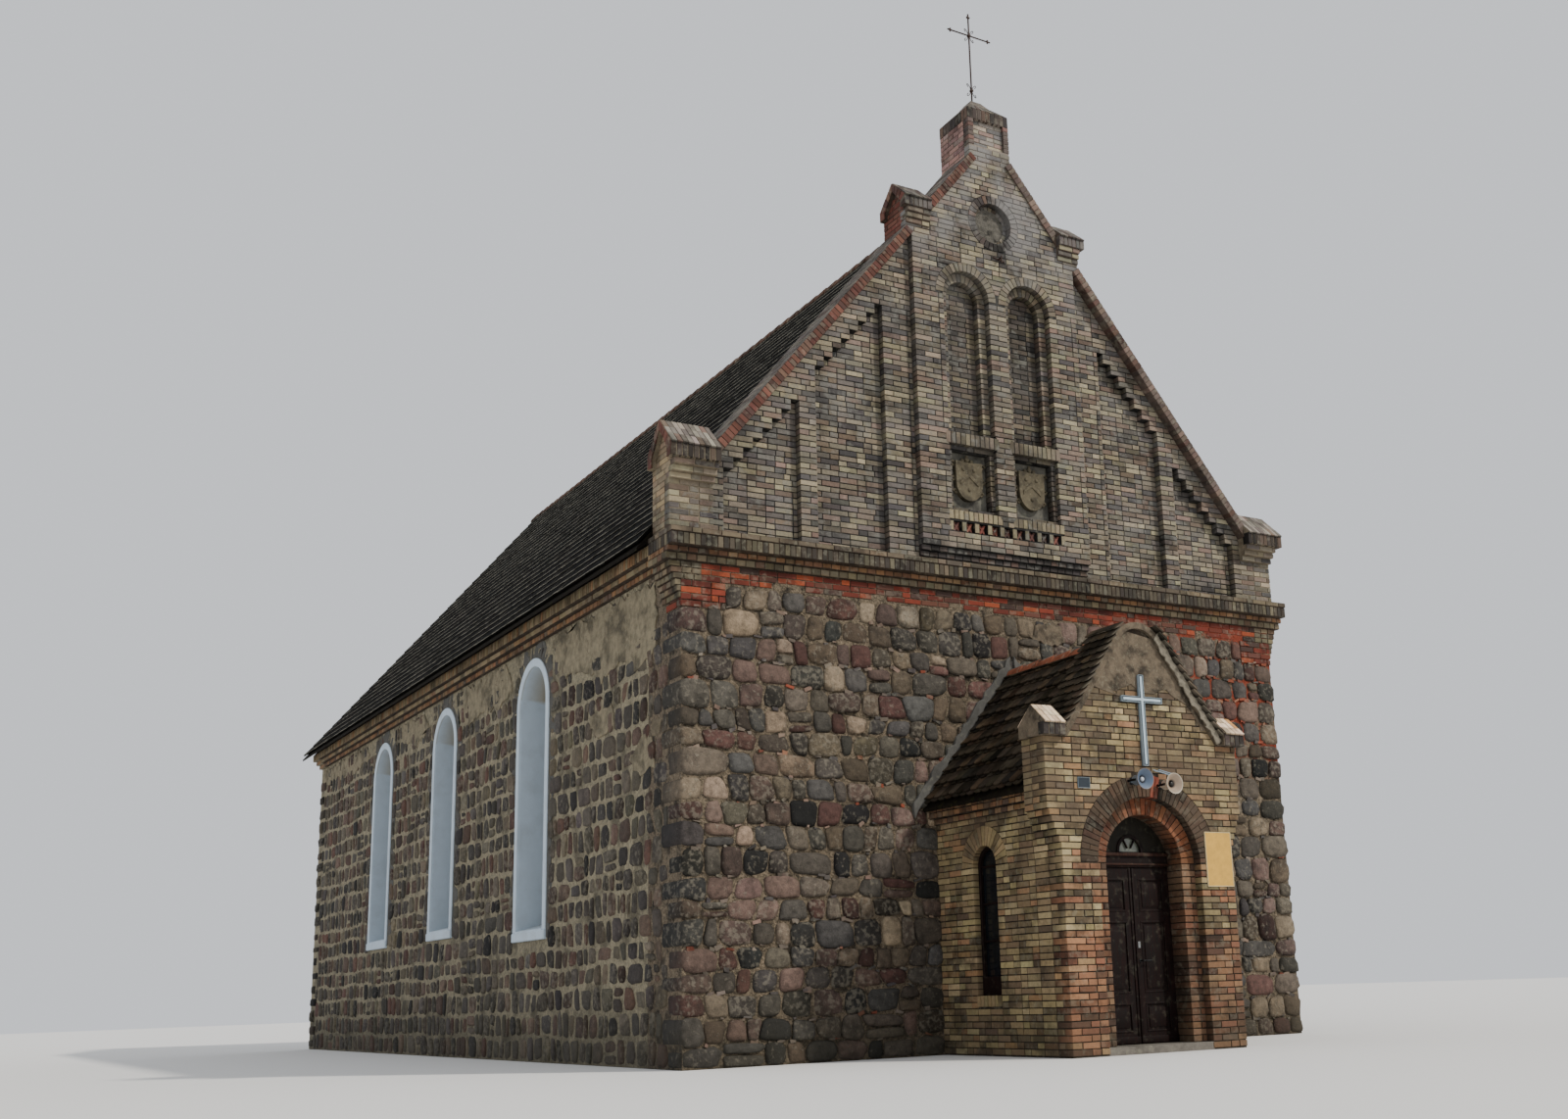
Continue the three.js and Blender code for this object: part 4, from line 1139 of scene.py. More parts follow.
def fieldSpans(height):
    edge = gableLines["pier"] if height < 7.265 else min(gableLines["foot"], slopeEdge(height))
    spans = [(bay["half"] if height > 6.45 else 0.0, edge, 0, deepReveal if height < 7.22 else 0)]
    for panel in panels:
        outer = panelEdge(panel, height)
        if outer:
            spans = cutSpans(spans, panel["inner"], outer, deepReveal)
    return [span for span in spans if span[1] > span[0]]


def panelSpans(height):
    spans = []
    for panel in reversed(panels):
        outer = panelEdge(panel, height)
        if outer:
            spans.append((panel["inner"], outer, 0, 0))
    return spans


def baySpans(height):
    half = bay["half"] if height < bay["pierFoot"] else bay["pier"]
    if height > bay["capFoot"]:
        half = min(bay["capHalf"], slopeEdge(height))
        if height > 12.785:
            return []
        half = max(half, 0.35)
    spans = [(-half, half, deepReveal, deepReveal)]
    for side in (-1, 1):
        centre = side * niche["centre"]
        crown = niche["half"] + 0.125
        arch = (centre, niche["half"], niche["sill"], niche["spring"], crown)
        spans = cutArch(spans, height, *arch, deepReveal)
        if crest["low"] < height < crest["high"]:
            spans = cutSpans(spans, centre - niche["half"], centre + niche["half"], deepReveal)
        if crest["high"] < height < niche["sill"] or 7.0 < height < crest["low"]:
            spans = cutSpans(spans, centre - 0.44, centre + 0.44)
    if checks["low"] < height < checks["high"]:
        spans = cutSpans(spans, -0.955, 0.955)
    ring = 0.0
    distance = abs(height - roundel["height"])
    if distance < 0.44:
        ring = math.sqrt(0.44 ** 2 - distance ** 2)
    return cutSpans(spans, -ring, ring) if ring > 0.03 else spans


# One niche with its rings, jambs and back, and the square recess under it
def layNiche(middle, side, rng):
    centre = side * niche["centre"]
    spring = (centre, niche["spring"])
    rings = ((-0.12, niche["half"], niche["half"] + 0.125), (0, niche["inner"], niche["half"]))
    for y, inner, outer in rings:
        layRing(middle, frontFace(y), spring, inner, outer, 0, math.pi, ringBrick, rng, 0.125)

    def jambs(height):
        inner, outer = niche["inner"], niche["half"]
        return [(centre - outer, centre - inner, 0, 0.125), (centre + inner, centre + outer, 0.125, 0)]

    layBricks(middle, frontFace(0), jambs, niche["sill"], niche["spring"], gableBrick, rng)

    def back(height):
        half = archHalf(height, niche["inner"], niche["sill"], niche["spring"])
        return [(centre - half, centre + half, 0, 0)] if half > 0.04 else []

    # the niche's back is laid in painted shade
    layBricks(middle, frontFace(0.12), back, niche["sill"], niche["sill"] + 30 * course, recessShadeBrick, rng)

    def crestJambs(height):
        inner, outer = crest["inner"], niche["half"]
        return [(centre - outer, centre - inner, 0, 0.13), (centre + inner, centre + outer, 0.13, 0)]

    # the jambs and ends of the shield recess are laid in painted shade too
    layBricks(middle, frontFace(-0.05), crestJambs, crest["low"], crest["high"], recessShadeBrick, rng, rows=13)
    for low, high in ((crest["low"], crest["innerLow"]), (crest["innerHigh"], crest["high"])):
        ends = oneSpan(centre - crest["inner"], centre + crest["inner"])
        layBricks(middle, frontFace(-0.045), ends, low, high, recessShadeBrick, rng, rows=1)
    lintel, sill = (crest["high"] - 0.004, niche["sill"] - 0.008), (7.006, crest["low"] + 0.004)
    for heights, look in ((lintel, lintelBrick), (sill, creamBrick)):
        layUprights(middle, frontFace(-0.12), centre - 0.44, centre + 0.44, *heights, look, rng, 0.12)


# The row of small checked openings
def layChecks(middle, rng):
    low, high = checks["low"] + 0.005, checks["high"] - 0.005
    gap = checks["pitch"] - checks["width"]
    for place in range(checks["count"]):
        x = (place - (checks["count"] - 1) / 2) * checks["pitch"]
        edge = x + checks["width"] / 2
        for left in ([x - checks["width"] / 2 - gap] if place == 0 else []) + [edge]:
            quad = squareOf(left + 0.004, left + gap - 0.004, low, high)
            addBrick(middle, frontFace(-0.12), quad, creamBrick, rng, 0.07)
        addBrick(middle, frontFace(-0.05), squareOf(x - 0.063, x + 0.063, low, high), redBrick, rng)
        for turn in (-1, 1):
            feet = sorted((x - turn * 0.060, x - turn * 0.022))
            heads = sorted((x + turn * 0.022, x + turn * 0.060))
            quad = [(feet[0], low), (feet[1], low), (heads[1], high), (heads[0], high)]
            addBrick(middle, frontFace(-0.075 - 0.002 * turn), quad, redBrick, rng, 0.03)


def layGable():
    rng = np.random.default_rng(61)
    field, middle = {}, {}
    start = 7.28 - 11 * course
    layBricks(field, frontFace(0), bothSides(fieldSpans), start, start + 61 * course, gableBrick, rng)
    layBricks(field, frontFace(0.12), bothSides(panelSpans), start, start + 46 * course, gableBrick, rng)
    buildPile(field, "gable_field_bricks", "gableBrickwork")

    # The middle bay: its face, the reveals of the niches and their backs
    layBricks(middle, frontFace(-0.12), baySpans, bay["foot"], bay["foot"] + 81 * course, gableBrick, rng)
    for low, proud in ((6.523, 0.08), (6.446, 0.04)):
        ends = [(-bay["half"], bay["half"], 0.08, 0.08)]
        layBricks(middle, frontFace(-proud), lambda height: ends, low, low + course, darkBrick, rng)
    for side in (-1, 1):
        layNiche(middle, side, rng)
    layChecks(middle, rng)
    centre = (0, roundel["height"])
    inner, radius, whole = roundel["inner"], roundel["radius"], 2 * math.pi
    layRing(middle, frontFace(-0.12), centre, radius, 0.44, 0, whole, darkBrick, rng, 0.12)
    layRing(middle, frontFace(0), centre, inner, radius, 0, whole, gableBrick, rng, 0.06)
    buildPile(middle, "middle_bay_bricks", "gableBrickwork")

    # Above the roof the gable shows its back
    back = {}

    def backSpans(height):
        low = max(0.35, (12.52 - height) / 1.187)
        high = min(gableLines["foot"], slopeEdge(height))
        return [(low, high, 0, 0)] if high - low > 0.05 else []

    layBricks(back, backFace(0.5), bothSides(backSpans), 7.22, 7.22 + 70 * course, gableBrick, rng)
    buildPile(back, "gable_back_bricks")


layGable()

# Plaster at the back of the small niches and of the roundel, and two carved shields of a plain kind
shield = {
    "half": 0.215, "top": 7.90, "height": 0.56, "near": 0.079, "far": -0.006, "rim": 0.024, "sink": 0.012,
}


def shieldLine(centre, grow):
    half, top, foot = shield["half"] + grow, shield["top"] + grow, shield["top"] - shield["height"] - grow
    points = [(centre - half, top), (centre, top - 0.015), (centre + half, top)]
    waist = top - 0.55 * (top - foot)
    for turn in range(9):
        angle = math.pi * turn / 16
        points.append((centre + half * math.cos(angle), waist - (waist - foot) * math.sin(angle)))
    points += [(2 * centre - a, b) for a, b in reversed(points[3:-1])]
    return points


def makeCurl(face, a, b, turnA, turnB, size, depth):
    points = []
    for step in range(13):
        angle = math.radians(30 * step)
        reach = size * (1 - 0.066 * step)
        x, y = turnA * reach * math.cos(angle), turnB * reach * math.sin(angle)
        points.append(spot(face, a + x, b + y, depth))
    return bendWire(points, 0.017, 2, True)


def makeBoss(face, a, b, radius, depth):
    return addBall(spot(face, a, b, depth), radius, 16, 0.6)


def makeShield(word, centre):
    face = frontFace(0)
    low, high, half = crest["innerLow"], crest["innerHigh"], crest["inner"]
    plaster = makePatch(face, squareOf(centre - half, centre + half, low, high), -0.085, -0.073)
    dress(plaster, f"niche_plaster_{word}", "plaster")
    plate = makePatch(face, shieldLine(centre, 0.004), -shield["near"], -shield["far"])
    stepFront(plate, (shield["rim"], shield["sink"]))
    parts = [bevelPiece(plate, 0.004, 2)]
    level = -shield["far"] - shield["sink"]
    band = [(-0.15, 7.56), (0, 7.68), (0.15, 7.56), (0.15, 7.62), (0, 7.745), (-0.15, 7.62)]
    chevron = makePatch(face, [(centre + a, b) for a, b in band], level - 0.02, level + 0.012)
    parts.append(bevelPiece(chevron, 0.003, 2))
    for a, b in ((-0.09, 7.79), (0.09, 7.79), (0.0, 7.50)):
        parts.append(makeBoss(face, centre + a, b, 0.030, level + 0.002))
    for side in (-1, 1):
        for b, size, flip in ((7.86, 0.052, 1), (7.66, 0.046, -1), (7.46, 0.040, 1)):
            reach = 0.245 if b > 7.6 else 0.215
            parts.append(makeCurl(face, centre + side * reach, b, side, flip, size, -0.045))
    for a, b, size in ((0, 7.945, 0.040), (-0.075, 7.93, 0.030), (0.075, 7.93, 0.030), (0, 7.99, 0.024)):
        parts.append(makeBoss(face, centre + a, b, size, -0.045))
    carved = joined(parts)
    smooth(carved, 40)
    dress(carved, f"carved_shield_{word}", "carvedStone")


for word, side in sides:
    makeShield(word, side * niche["centre"])
disc = []
for turn in range(24):
    angle = math.radians(15 * turn)
    disc.append((0.264 * math.cos(angle), roundel["height"] + 0.264 * math.sin(angle)))
roundelPlaster = makePatch(frontFace(0), disc, -0.004, 0.008)
dress(bevelPiece(roundelPlaster, 0.003), "roundel_plaster", "roughPlaster")
print("stage: the gable is laid")

# Cornices, red courses, copings, kneelers and the pinnacle
headerYellow = makeLook((410, 375, 300, 50), (470, 420, 330, 30), (370, 300, 240, 20), bond="headers")
orangeBrick = makeLook((500, 370, 260, 40), (450, 330, 245, 30), (520, 420, 310, 20), (340, 275, 230, 10),
                       bond="headers")
greyUpright = makeLook((305, 280, 235, 45), (400, 370, 300, 20), (230, 210, 185, 35), bond="headers",
                       spread=0.07)
flatCourse = makeLook((400, 355, 290, 60), (470, 410, 330, 15), (320, 285, 245, 25), headers=0.3,
                      spread=0.08)
brightRed = makeLook((460, 205, 150, 35), (390, 185, 145, 25), (560, 270, 170, 15), (360, 230, 190, 15),
                     (270, 210, 185, 10), headers=0.4)
capBrick = makeLook((560, 525, 480, 40), (470, 445, 410, 25), (400, 370, 340, 20), (460, 385, 340, 15),
                    spread=0.08)
copingTop = makeLook((370, 345, 320, 40), (440, 410, 370, 30), (310, 255, 230, 30), spread=0.12)
capHeader = makeLook((190, 170, 155, 50), (250, 220, 200, 30), (330, 280, 240, 20), spread=0.12)
midHeader = makeLook((370, 350, 335, 50), (310, 290, 280, 30), (430, 400, 380, 20))
greyCoping = makeLook((370, 320, 290, 50), (430, 360, 320, 30), (340, 255, 225, 20), spread=0.12)
eavesYellow = makeLook((530, 470, 365, 50), (470, 405, 310, 30), (550, 430, 310, 20))
coping = makeLook((370, 235, 200, 40), (420, 280, 235, 25), (310, 225, 200, 25), (470, 370, 310, 10),
                  spread=0.12)
pinnacleBrick = makeLook((610, 475, 445, 50), (530, 415, 390, 30), (640, 540, 505, 20))
stripBrick = makeLook((360, 315, 295, 60), (430, 330, 300, 40), bond="headers")
pierSide = makeLook((550, 490, 395, 50), (510, 445, 365, 30), (580, 500, 390, 20), spread=0.08)
paleShaft = makeLook((530, 500, 460, 40), (600, 560, 490, 20), (540, 460, 425, 20), (440, 425, 415, 20),
                     headers=0.3, spread=0.12)
cornice = {
    "half": 5.08,
    "back": 0.5,
    "front": ((6.00, 6.09, 0.05), (6.09, 6.16, 0.10), (6.16, 6.31, 0.20), (6.31, 6.38, 0.215)),
    "eaves": ((6.00, 6.08, 0.06), (6.08, 6.16, 0.13), (6.16, 6.305, 0.203)),
    "redLow": 5.77,
}


# One course of a cornice: bricks on end where it is tall, flat ones elsewhere
def layBand(pile, face, left, right, low, high, look, rng, depth=0.0, top=0.005, over=0.0):
    if high - low > 0.12:
        layUprights(pile, face, left, right, low + 0.005, high - top, look, rng, depth or 0.01, over=over)
    else:
        layBricks(pile, face, oneSpan(left, right, depth, depth), low, high, look, rng, rows=1)


def layCornices():
    rng = np.random.default_rng(71)
    half, back = cornice["half"], cornice["back"]
    pile = {}
    looks = (headerYellow, orangeBrick, greyUpright, flatCourse)
    for (low, high, proud), look in zip(cornice["front"], looks):
        layBand(pile, frontFace(-proud), -half, half, low, high, look, rng, 0.12, over=0.006)
        for side in (-1, 1):
            layBand(pile, sideFace(side * half), 0.13 - proud, back, low, high, look, rng)
    for side in (-1, 1):
        for turn in range(1, 7):
            out = fieldstone["halfWidth"] + (7 - turn) * 0.025
            low = 6.0 - turn * course
            ends = oneSpan(4.60, out, 0, 0.12) if side > 0 else oneSpan(-out, -4.60, 0.12, 0)
            for face, spansAt in ((frontFace(-0.004), ends), (sideFace(side * out), oneSpan(0.13, back))):
                layBricks(pile, face, spansAt, low, low + course, headerYellow, rng, rows=1)
    buildPile(pile, "front_cornice_bricks")

    # Red courses under the cornice, with a ragged lower edge and patches at both corners
    pile = {}
    edges = rng.integers(0, 3, 80)

    def redSpans(height):
        spans = []
        for turn in range(38):
            left = -4.60 + turn * 9.20 / 38
            if height > cornice["redLow"] + (0 if edges[turn] else 0.077):
                spans.append((left, left + 9.20 / 38, 0, 0))
        merged = []
        for span in spans:
            if merged and abs(merged[-1][1] - span[0]) < 0.001:
                merged[-1] = (merged[-1][0], span[1], 0, 0)
            else:
                merged.append(span)
        return merged

    layBricks(pile, frontFace(0), redSpans, cornice["redLow"], 6.0, brightRed, rng, rows=3)
    edge, end = fieldstone["halfWidth"], fieldstone["redEnd"]
    for ends in (oneSpan(-edge, -end, 0.12), oneSpan(end, edge, 0, 0.12)):
        layBricks(pile, frontFace(-0.012), ends, fieldstone["redFrom"] + 0.03, 5.77, brightRed, rng, rows=4)
    for side in (-1, 1):
        for row in range(4):
            reach = 0.30 if row % 2 else 0.42
            low = fieldstone["redFrom"] + 0.03 + row * 0.085
            face = sideFace(side * (edge + 0.004))
            layBricks(pile, face, oneSpan(0.115, reach), low, low + 0.085, brightRed, rng, rows=1)
    buildPile(pile, "front_wall_red_bricks")

    for word, side in sides:
        pile = {}
        for (low, high, proud), look in zip(cornice["eaves"], (orangeBrick, eavesYellow, eavesYellow)):
            face = sideFace(side * (fieldstone["halfWidth"] + proud))
            layBand(pile, face, back, fieldstone["length"], low, high, look, rng, top=0.004)
        buildPile(pile, f"eaves_cornice_bricks_{word}")
    pile = {}
    for (low, high, proud), look in zip(cornice["eaves"], (orangeBrick, headerYellow, greyUpright)):
        reach = fieldstone["halfWidth"] + proud
        for left, right in ((-reach, -4.55), (4.55, reach)):
            layBand(pile, backFace(fieldstone["length"]), left, right, low, high, look, rng, top=0.03)
    buildPile(pile, "east_corner_bricks")


# Bricks on edge down the slopes of the gable, seen from the front, from above and from behind
copingBrick = {"front": -0.15, "back": 0.53, "pitch": 0.077}


def layCopings():
    rng = np.random.default_rng(81)
    slope = gableLines["slope"]
    length = math.hypot(1, slope)
    for word, side in sides:
        reaches = (("lower_coping", gableLines["foot"], bay["pier"]), ("upper_coping", bay["capHalf"], 0.35))
        for name, low, high in reaches:
            pile = {}
            run = (low - high) * length
            along = np.array((-side / length, 0, slope / length))
            up = np.array((side * slope / length, 0, 1 / length))
            foot = np.array((side * low, frontY, gableLines["apex"] - slope * low))
            count = round(run / copingBrick["pitch"])
            rows = ((copingBrick["front"], 0.10), (0.11, 0.32), (0.33, copingBrick["back"]))
            for turn in range(count):
                a0 = run * turn / count + 0.005
                a1 = run * (turn + 1) / count - 0.005
                edge = tintOf(coping if side < 0 else greyCoping, rng)
                for place, (near, far) in enumerate(rows):
                    origin = foot + np.array((0, near, 0))
                    face = faceAt(origin, along, (0, -1, 0), up)
                    quad = [(a0, -0.124), (a1, -0.124), (a1, 0.006), (a0, 0.006)]
                    colour = edge if place == 0 else tintOf(copingTop, rng)
                    addBrick(pile, face, quad, redBrick, rng, far - near, tint=colour)
                top = faceAt(foot + up * 0.006, along, up, (0, 1, 0))
                for near, far in rows:
                    quad = [(a0, near), (a1, near), (a1, far - 0.01), (a0, far - 0.01)]
                    addBrick(pile, top, quad, copingTop, rng, 0.004, proud=0.004)
            buildPile(pile, f"{name}_bricks_{word}")


# Gabled caps: headers at the front, bricks up both slopes, and a pier whose side runs up under them
caps = (
    {"name": "eaves_kneeler", "inner": 4.43, "outer": 5.10, "pier": 5.02, "pierFoot": 6.44,
     "pierFront": 0.0, "front": -0.26, "ridgeAt": 0.12, "back": 0.50, "foot": 7.265, "header": 7.44,
     "ridge": 7.82},
    {"name": "middle_kneeler", "inner": 1.13, "outer": 1.57, "pier": 1.50, "pierFoot": 11.13,
     "pierFront": -0.12, "front": -0.25, "ridgeAt": 0.10, "back": 0.45, "foot": 11.48, "header": 11.62,
     "ridge": 11.93},
)
capThickness = {"slope": 0.12, "end": 0.13, "drop": 0.06}


# The brick on edge that closes the end of a cap, up one slope and down the other
def capEnd(pile, cap, side, look, rng):
    face = sideFace(side * cap["outer"])
    peak = (cap["ridgeAt"], cap["ridge"])
    innerPeak = (cap["ridgeAt"], cap["ridge"] - capThickness["slope"])
    for edge, turn in ((cap["front"], 1), (cap["back"], -1)):
        low = edge + turn * capThickness["end"]
        outer = (edge + turn * 0.012, cap["header"])
        inner = (low, cap["header"] - capThickness["drop"])
        leg = [(edge + turn * 0.024, cap["foot"]), (low, cap["foot"]), inner, outer]
        addBrick(pile, face, leg if turn > 0 else [leg[1], leg[0], leg[3], leg[2]], look, rng, 0.01)
        count = 4
        for step in range(count):
            shares = (step / count + 0.012, (step + 1) / count - 0.012)
            quad = []
            above, below = (outer, peak), (inner, innerPeak)
            for share, (first, last) in zip((shares[0], *shares, shares[1]), (above, below, below, above)):
                quad.append([start + share * (end - start) for start, end in zip(first, last)])
            addBrick(pile, face, quad if turn > 0 else [quad[1], quad[0], quad[3], quad[2]], look, rng, 0.01)


# How far the corbelled front of a pier stands out at one height
def pierFrontAt(cap, height):
    if height > cap["foot"]:
        return cap["front"] + 0.02
    step = math.ceil((cap["foot"] - height) / course)
    reach = cap["pierFront"] - cap["front"] - 0.02
    return cap["pierFront"] - reach * (4 - step) / 4 if step < 4 else cap["pierFront"]


def layPier(pile, cap, side, look, frontLook, rng):
    def sideSpans(height):
        near, far = pierFrontAt(cap, height) + 0.13, cap["back"]
        if height > cap["header"] - capThickness["drop"]:
            drop = cap["ridge"] - capThickness["slope"] - height
            rise = cap["ridge"] - capThickness["slope"] - cap["header"] + capThickness["drop"]
            share = max(0.0, drop / rise)
            near = cap["ridgeAt"] - (cap["ridgeAt"] - near) * share
            far = cap["ridgeAt"] + (far - capThickness["end"] - cap["ridgeAt"]) * share
        return [(near, far, 0, 0)] if far - near > 0.07 else []

    below = round((cap["foot"] - cap["pierFoot"]) / course)
    above = round((cap["ridge"] - capThickness["slope"] - cap["foot"]) / course)
    face = sideFace(side * cap["pier"])
    top = cap["ridge"] - capThickness["slope"]
    layBricks(pile, face, sideSpans, cap["pierFoot"], cap["foot"], look, rng, rows=below)
    layBricks(pile, face, sideSpans, cap["foot"], top, look, rng, rows=above, firstRow=below)
    ends = (0, 0.12) if side > 0 else (0.12, 0)
    behind = sorted((side * cap["inner"], side * cap["pier"]))
    for step in range(1, 4):
        low = cap["foot"] - step * course
        front = pierFrontAt(cap, low + 0.5 * course)
        layBricks(pile, frontFace(front), oneSpan(*behind, *ends), low, low + course, frontLook, rng, rows=1)
    face = backFace(cap["back"])
    layBricks(pile, face, oneSpan(*behind), cap["pierFoot"], cap["foot"], look, rng, rows=below)


def capSlope(pile, cap, side, near, look, rng):
    width = cap["outer"] - cap["inner"]
    edge = cap["front"] if near else cap["back"]
    rise = np.array((0, cap["ridgeAt"] - edge, cap["ridge"] - cap["header"]))
    run = np.linalg.norm(rise)
    up = rise / run
    across = np.array((side, 0, 0))
    out = np.array((0, -up[2], up[1])) if near else np.array((0, up[2], -up[1]))
    face = faceAt((side * cap["inner"], frontY + edge, cap["header"]), across, out, up)
    count = round(width / course)
    for row in range(3):
        for turn in range(count):
            a0 = width * turn / count + 0.004
            a1 = width * (turn + 1) / count - 0.004
            low, high = run * row / 3 + (0.004 if row else -0.012), run * (row + 1) / 3 - 0.004
            addBrick(pile, face, squareOf(a0, a1, low, high), look, rng, 0.012, proud=0.014 - 0.003 * row)


def layKneelers():
    rng = np.random.default_rng(91)
    for cap in caps:
        isMiddle = cap["name"] == "middle_kneeler"
        sideLook = redBrick if isMiddle else pierSide
        for word, side in sides:
            pile = {}
            face = frontFace(cap["front"] + 0.02)
            left, right = sorted((side * cap["inner"], side * cap["outer"]))
            layUprights(pile, face, left, right, cap["foot"], cap["header"] - 0.006,
                        midHeader if isMiddle else capHeader, rng, 0.12, over=0.006)
            capEnd(pile, cap, side, coping, rng)
            for near in (True, False):
                capSlope(pile, cap, side, near, copingTop if isMiddle else capBrick, rng)
            layPier(pile, cap, side, sideLook, gableBrick, rng)
            buildPile(pile, f"{cap['name']}_bricks_{word}")


pinnacle = {
    "half": 0.35, "front": -0.12, "back": 0.62, "low": 12.435, "sunk": 12.785, "corbel": 12.60, "top": 13.21,
    "header": 13.38, "shoulder": 13.55, "shoulderHalf": 0.19, "strip": 0.075, "recess": 0.05,
}


# One slope of the pinnacle's top, from the headers up to its shoulder
def crownSlope(pile, turnX, turnY, look, rng):
    size = pinnacle
    middle = (size["front"] + size["back"]) / 2
    deep = (size["back"] - size["front"]) / 2
    lowHalf, highHalf = (size["half"], size["shoulderHalf"]) if turnY else (deep, size["shoulderHalf"])
    reach = deep if turnY else size["half"]
    run = reach - size["shoulderHalf"]
    rise = size["shoulder"] - size["header"]
    length = math.hypot(run, rise)
    across = np.array((-turnY, turnX, 0))
    up = np.array((-turnX * run, -turnY * run, rise)) / length
    out = np.cross(across, up)
    origin = (turnX * reach, frontY + middle + turnY * reach, size["header"])
    face = faceAt(origin, across, out, up)
    count = 9
    for step in range(count):
        quad = []
        for share, half, height in ((step, lowHalf, -0.006), (step + 1, lowHalf, -0.006),
                                    (step + 1, highHalf, length), (step, highHalf, length)):
            quad.append(((2 * share / count - 1) * half, height))
        addBrick(pile, face, quad, look, rng, 0.01, proud=0.008)


def layPinnacle():
    rng = np.random.default_rng(101)
    size = pinnacle
    half, sunk, top, header = size["half"], size["sunk"], size["top"], size["header"]
    near, far = size["front"], size["back"]
    pile = {}
    for side in (-1, 1):
        body = oneSpan(near + 0.13, far)
        layBricks(pile, sideFace(side * half), body, size["low"], top, pinnacleBrick, rng, rows=10)
        layUprights(pile, sideFace(side * half), near + 0.012, far - 0.012, top, header, darkBrick, rng)
        crownSlope(pile, side, 0, copingTop, rng)
        crownSlope(pile, 0, side, copingTop, rng)
        strip = sorted((side * half, side * (half - size["strip"])))
        ends = (0.12, 0.05) if side < 0 else (0.05, 0.12)
        layBricks(pile, frontFace(near), oneSpan(*strip, *ends), sunk, top, stripBrick, rng, rows=6)
    field = oneSpan(size["strip"] - half, half - size["strip"])
    layBricks(pile, frontFace(near + size["recess"]), field, sunk, top, paleShaft, rng, rows=6)
    layBricks(pile, backFace(far), oneSpan(-half, half), size["corbel"], top, pinnacleBrick, rng, rows=8)
    for face in (frontFace(near), backFace(far)):
        layUprights(pile, face, -half, half, top, header, darkBrick, rng, 0.12, over=0.006)
    buildPile(pile, "pinnacle_bricks")


layCornices()
layCopings()
layKneelers()
layPinnacle()
print("stage: cornices, copings and caps are laid")

# Brickwork of the porch
porch = {
    "half": 1.30, "front": -2.63, "back": -2.20, "spring": 2.18, "outer": 0.79, "inner": 0.59, "ring": 1.05,
    "shoulder": -2.51, "corbelLow": 2.40, "corbelTop": 3.63, "start": 0.013,
}
porchWindow = {"centre": -1.05, "half": 0.26, "ring": 0.50, "low": 0.70 - 0.12, "sill": 0.70, "spring": 2.25}
porchBrick = makeLook((585, 520, 380, 36), (650, 585, 440, 14), (510, 440, 330, 22), (570, 450, 325, 12),
                      (450, 385, 295, 12), (370, 310, 250, 4), headers=0.6)
pierBrick = makeLook((585, 430, 315, 34), (545, 375, 275, 26), (500, 335, 250, 18), (610, 490, 355, 14),
                     (350, 250, 195, 8), headers=1.0)
archBrick = makeLook((265, 215, 170, 50), (300, 225, 175, 30), (220, 185, 150, 20), spread=0.08)
paintedBrick = makeLook((600, 310, 235, 100))
innerArchBrick = makeLook((440, 260, 170, 45), (490, 320, 215, 20), (330, 205, 150, 35))
yellowBrick = makeLook((570, 495, 360, 60), (510, 435, 320, 40), spread=0.08)
mixedBrick = makeLook(*pierBrick["tints"], *porchBrick["tints"], headers=0.8)
# The right pier: the left pier's kinds of brick, darker as painted shade
shadedPier = makeLook((500, 375, 275, 40), (450, 315, 235, 30), (540, 430, 320, 15), (330, 240, 190, 15),
                      headers=1.0)
jambBrick = makeLook((460, 320, 235, 40), (390, 270, 205, 30), (490, 380, 290, 15), (280, 210, 170, 15),
                     headers=1.0)
capCream = makeLook((910, 810, 690, 60), (850, 740, 610, 28), (800, 580, 360, 12), spread=0.06)
pierDepths = (0.255, 0.125)


def porchTopHalf(height):
    line = (5.2626 - height) / 1.397
    if height <= 4.8786:
        return line
    rest = 0.338 ** 2 - (height - 4.682) ** 2
    return math.sqrt(rest) if rest > 0 else 0.0


def porchHalf(height):
    if height < porch["corbelLow"]:
        return porch["half"]
    if height < porch["corbelTop"]:
        return porch["half"] + 0.03 * min(6, 1 + math.floor((height - porch["corbelLow"]) / course))
    return porchTopHalf(height)


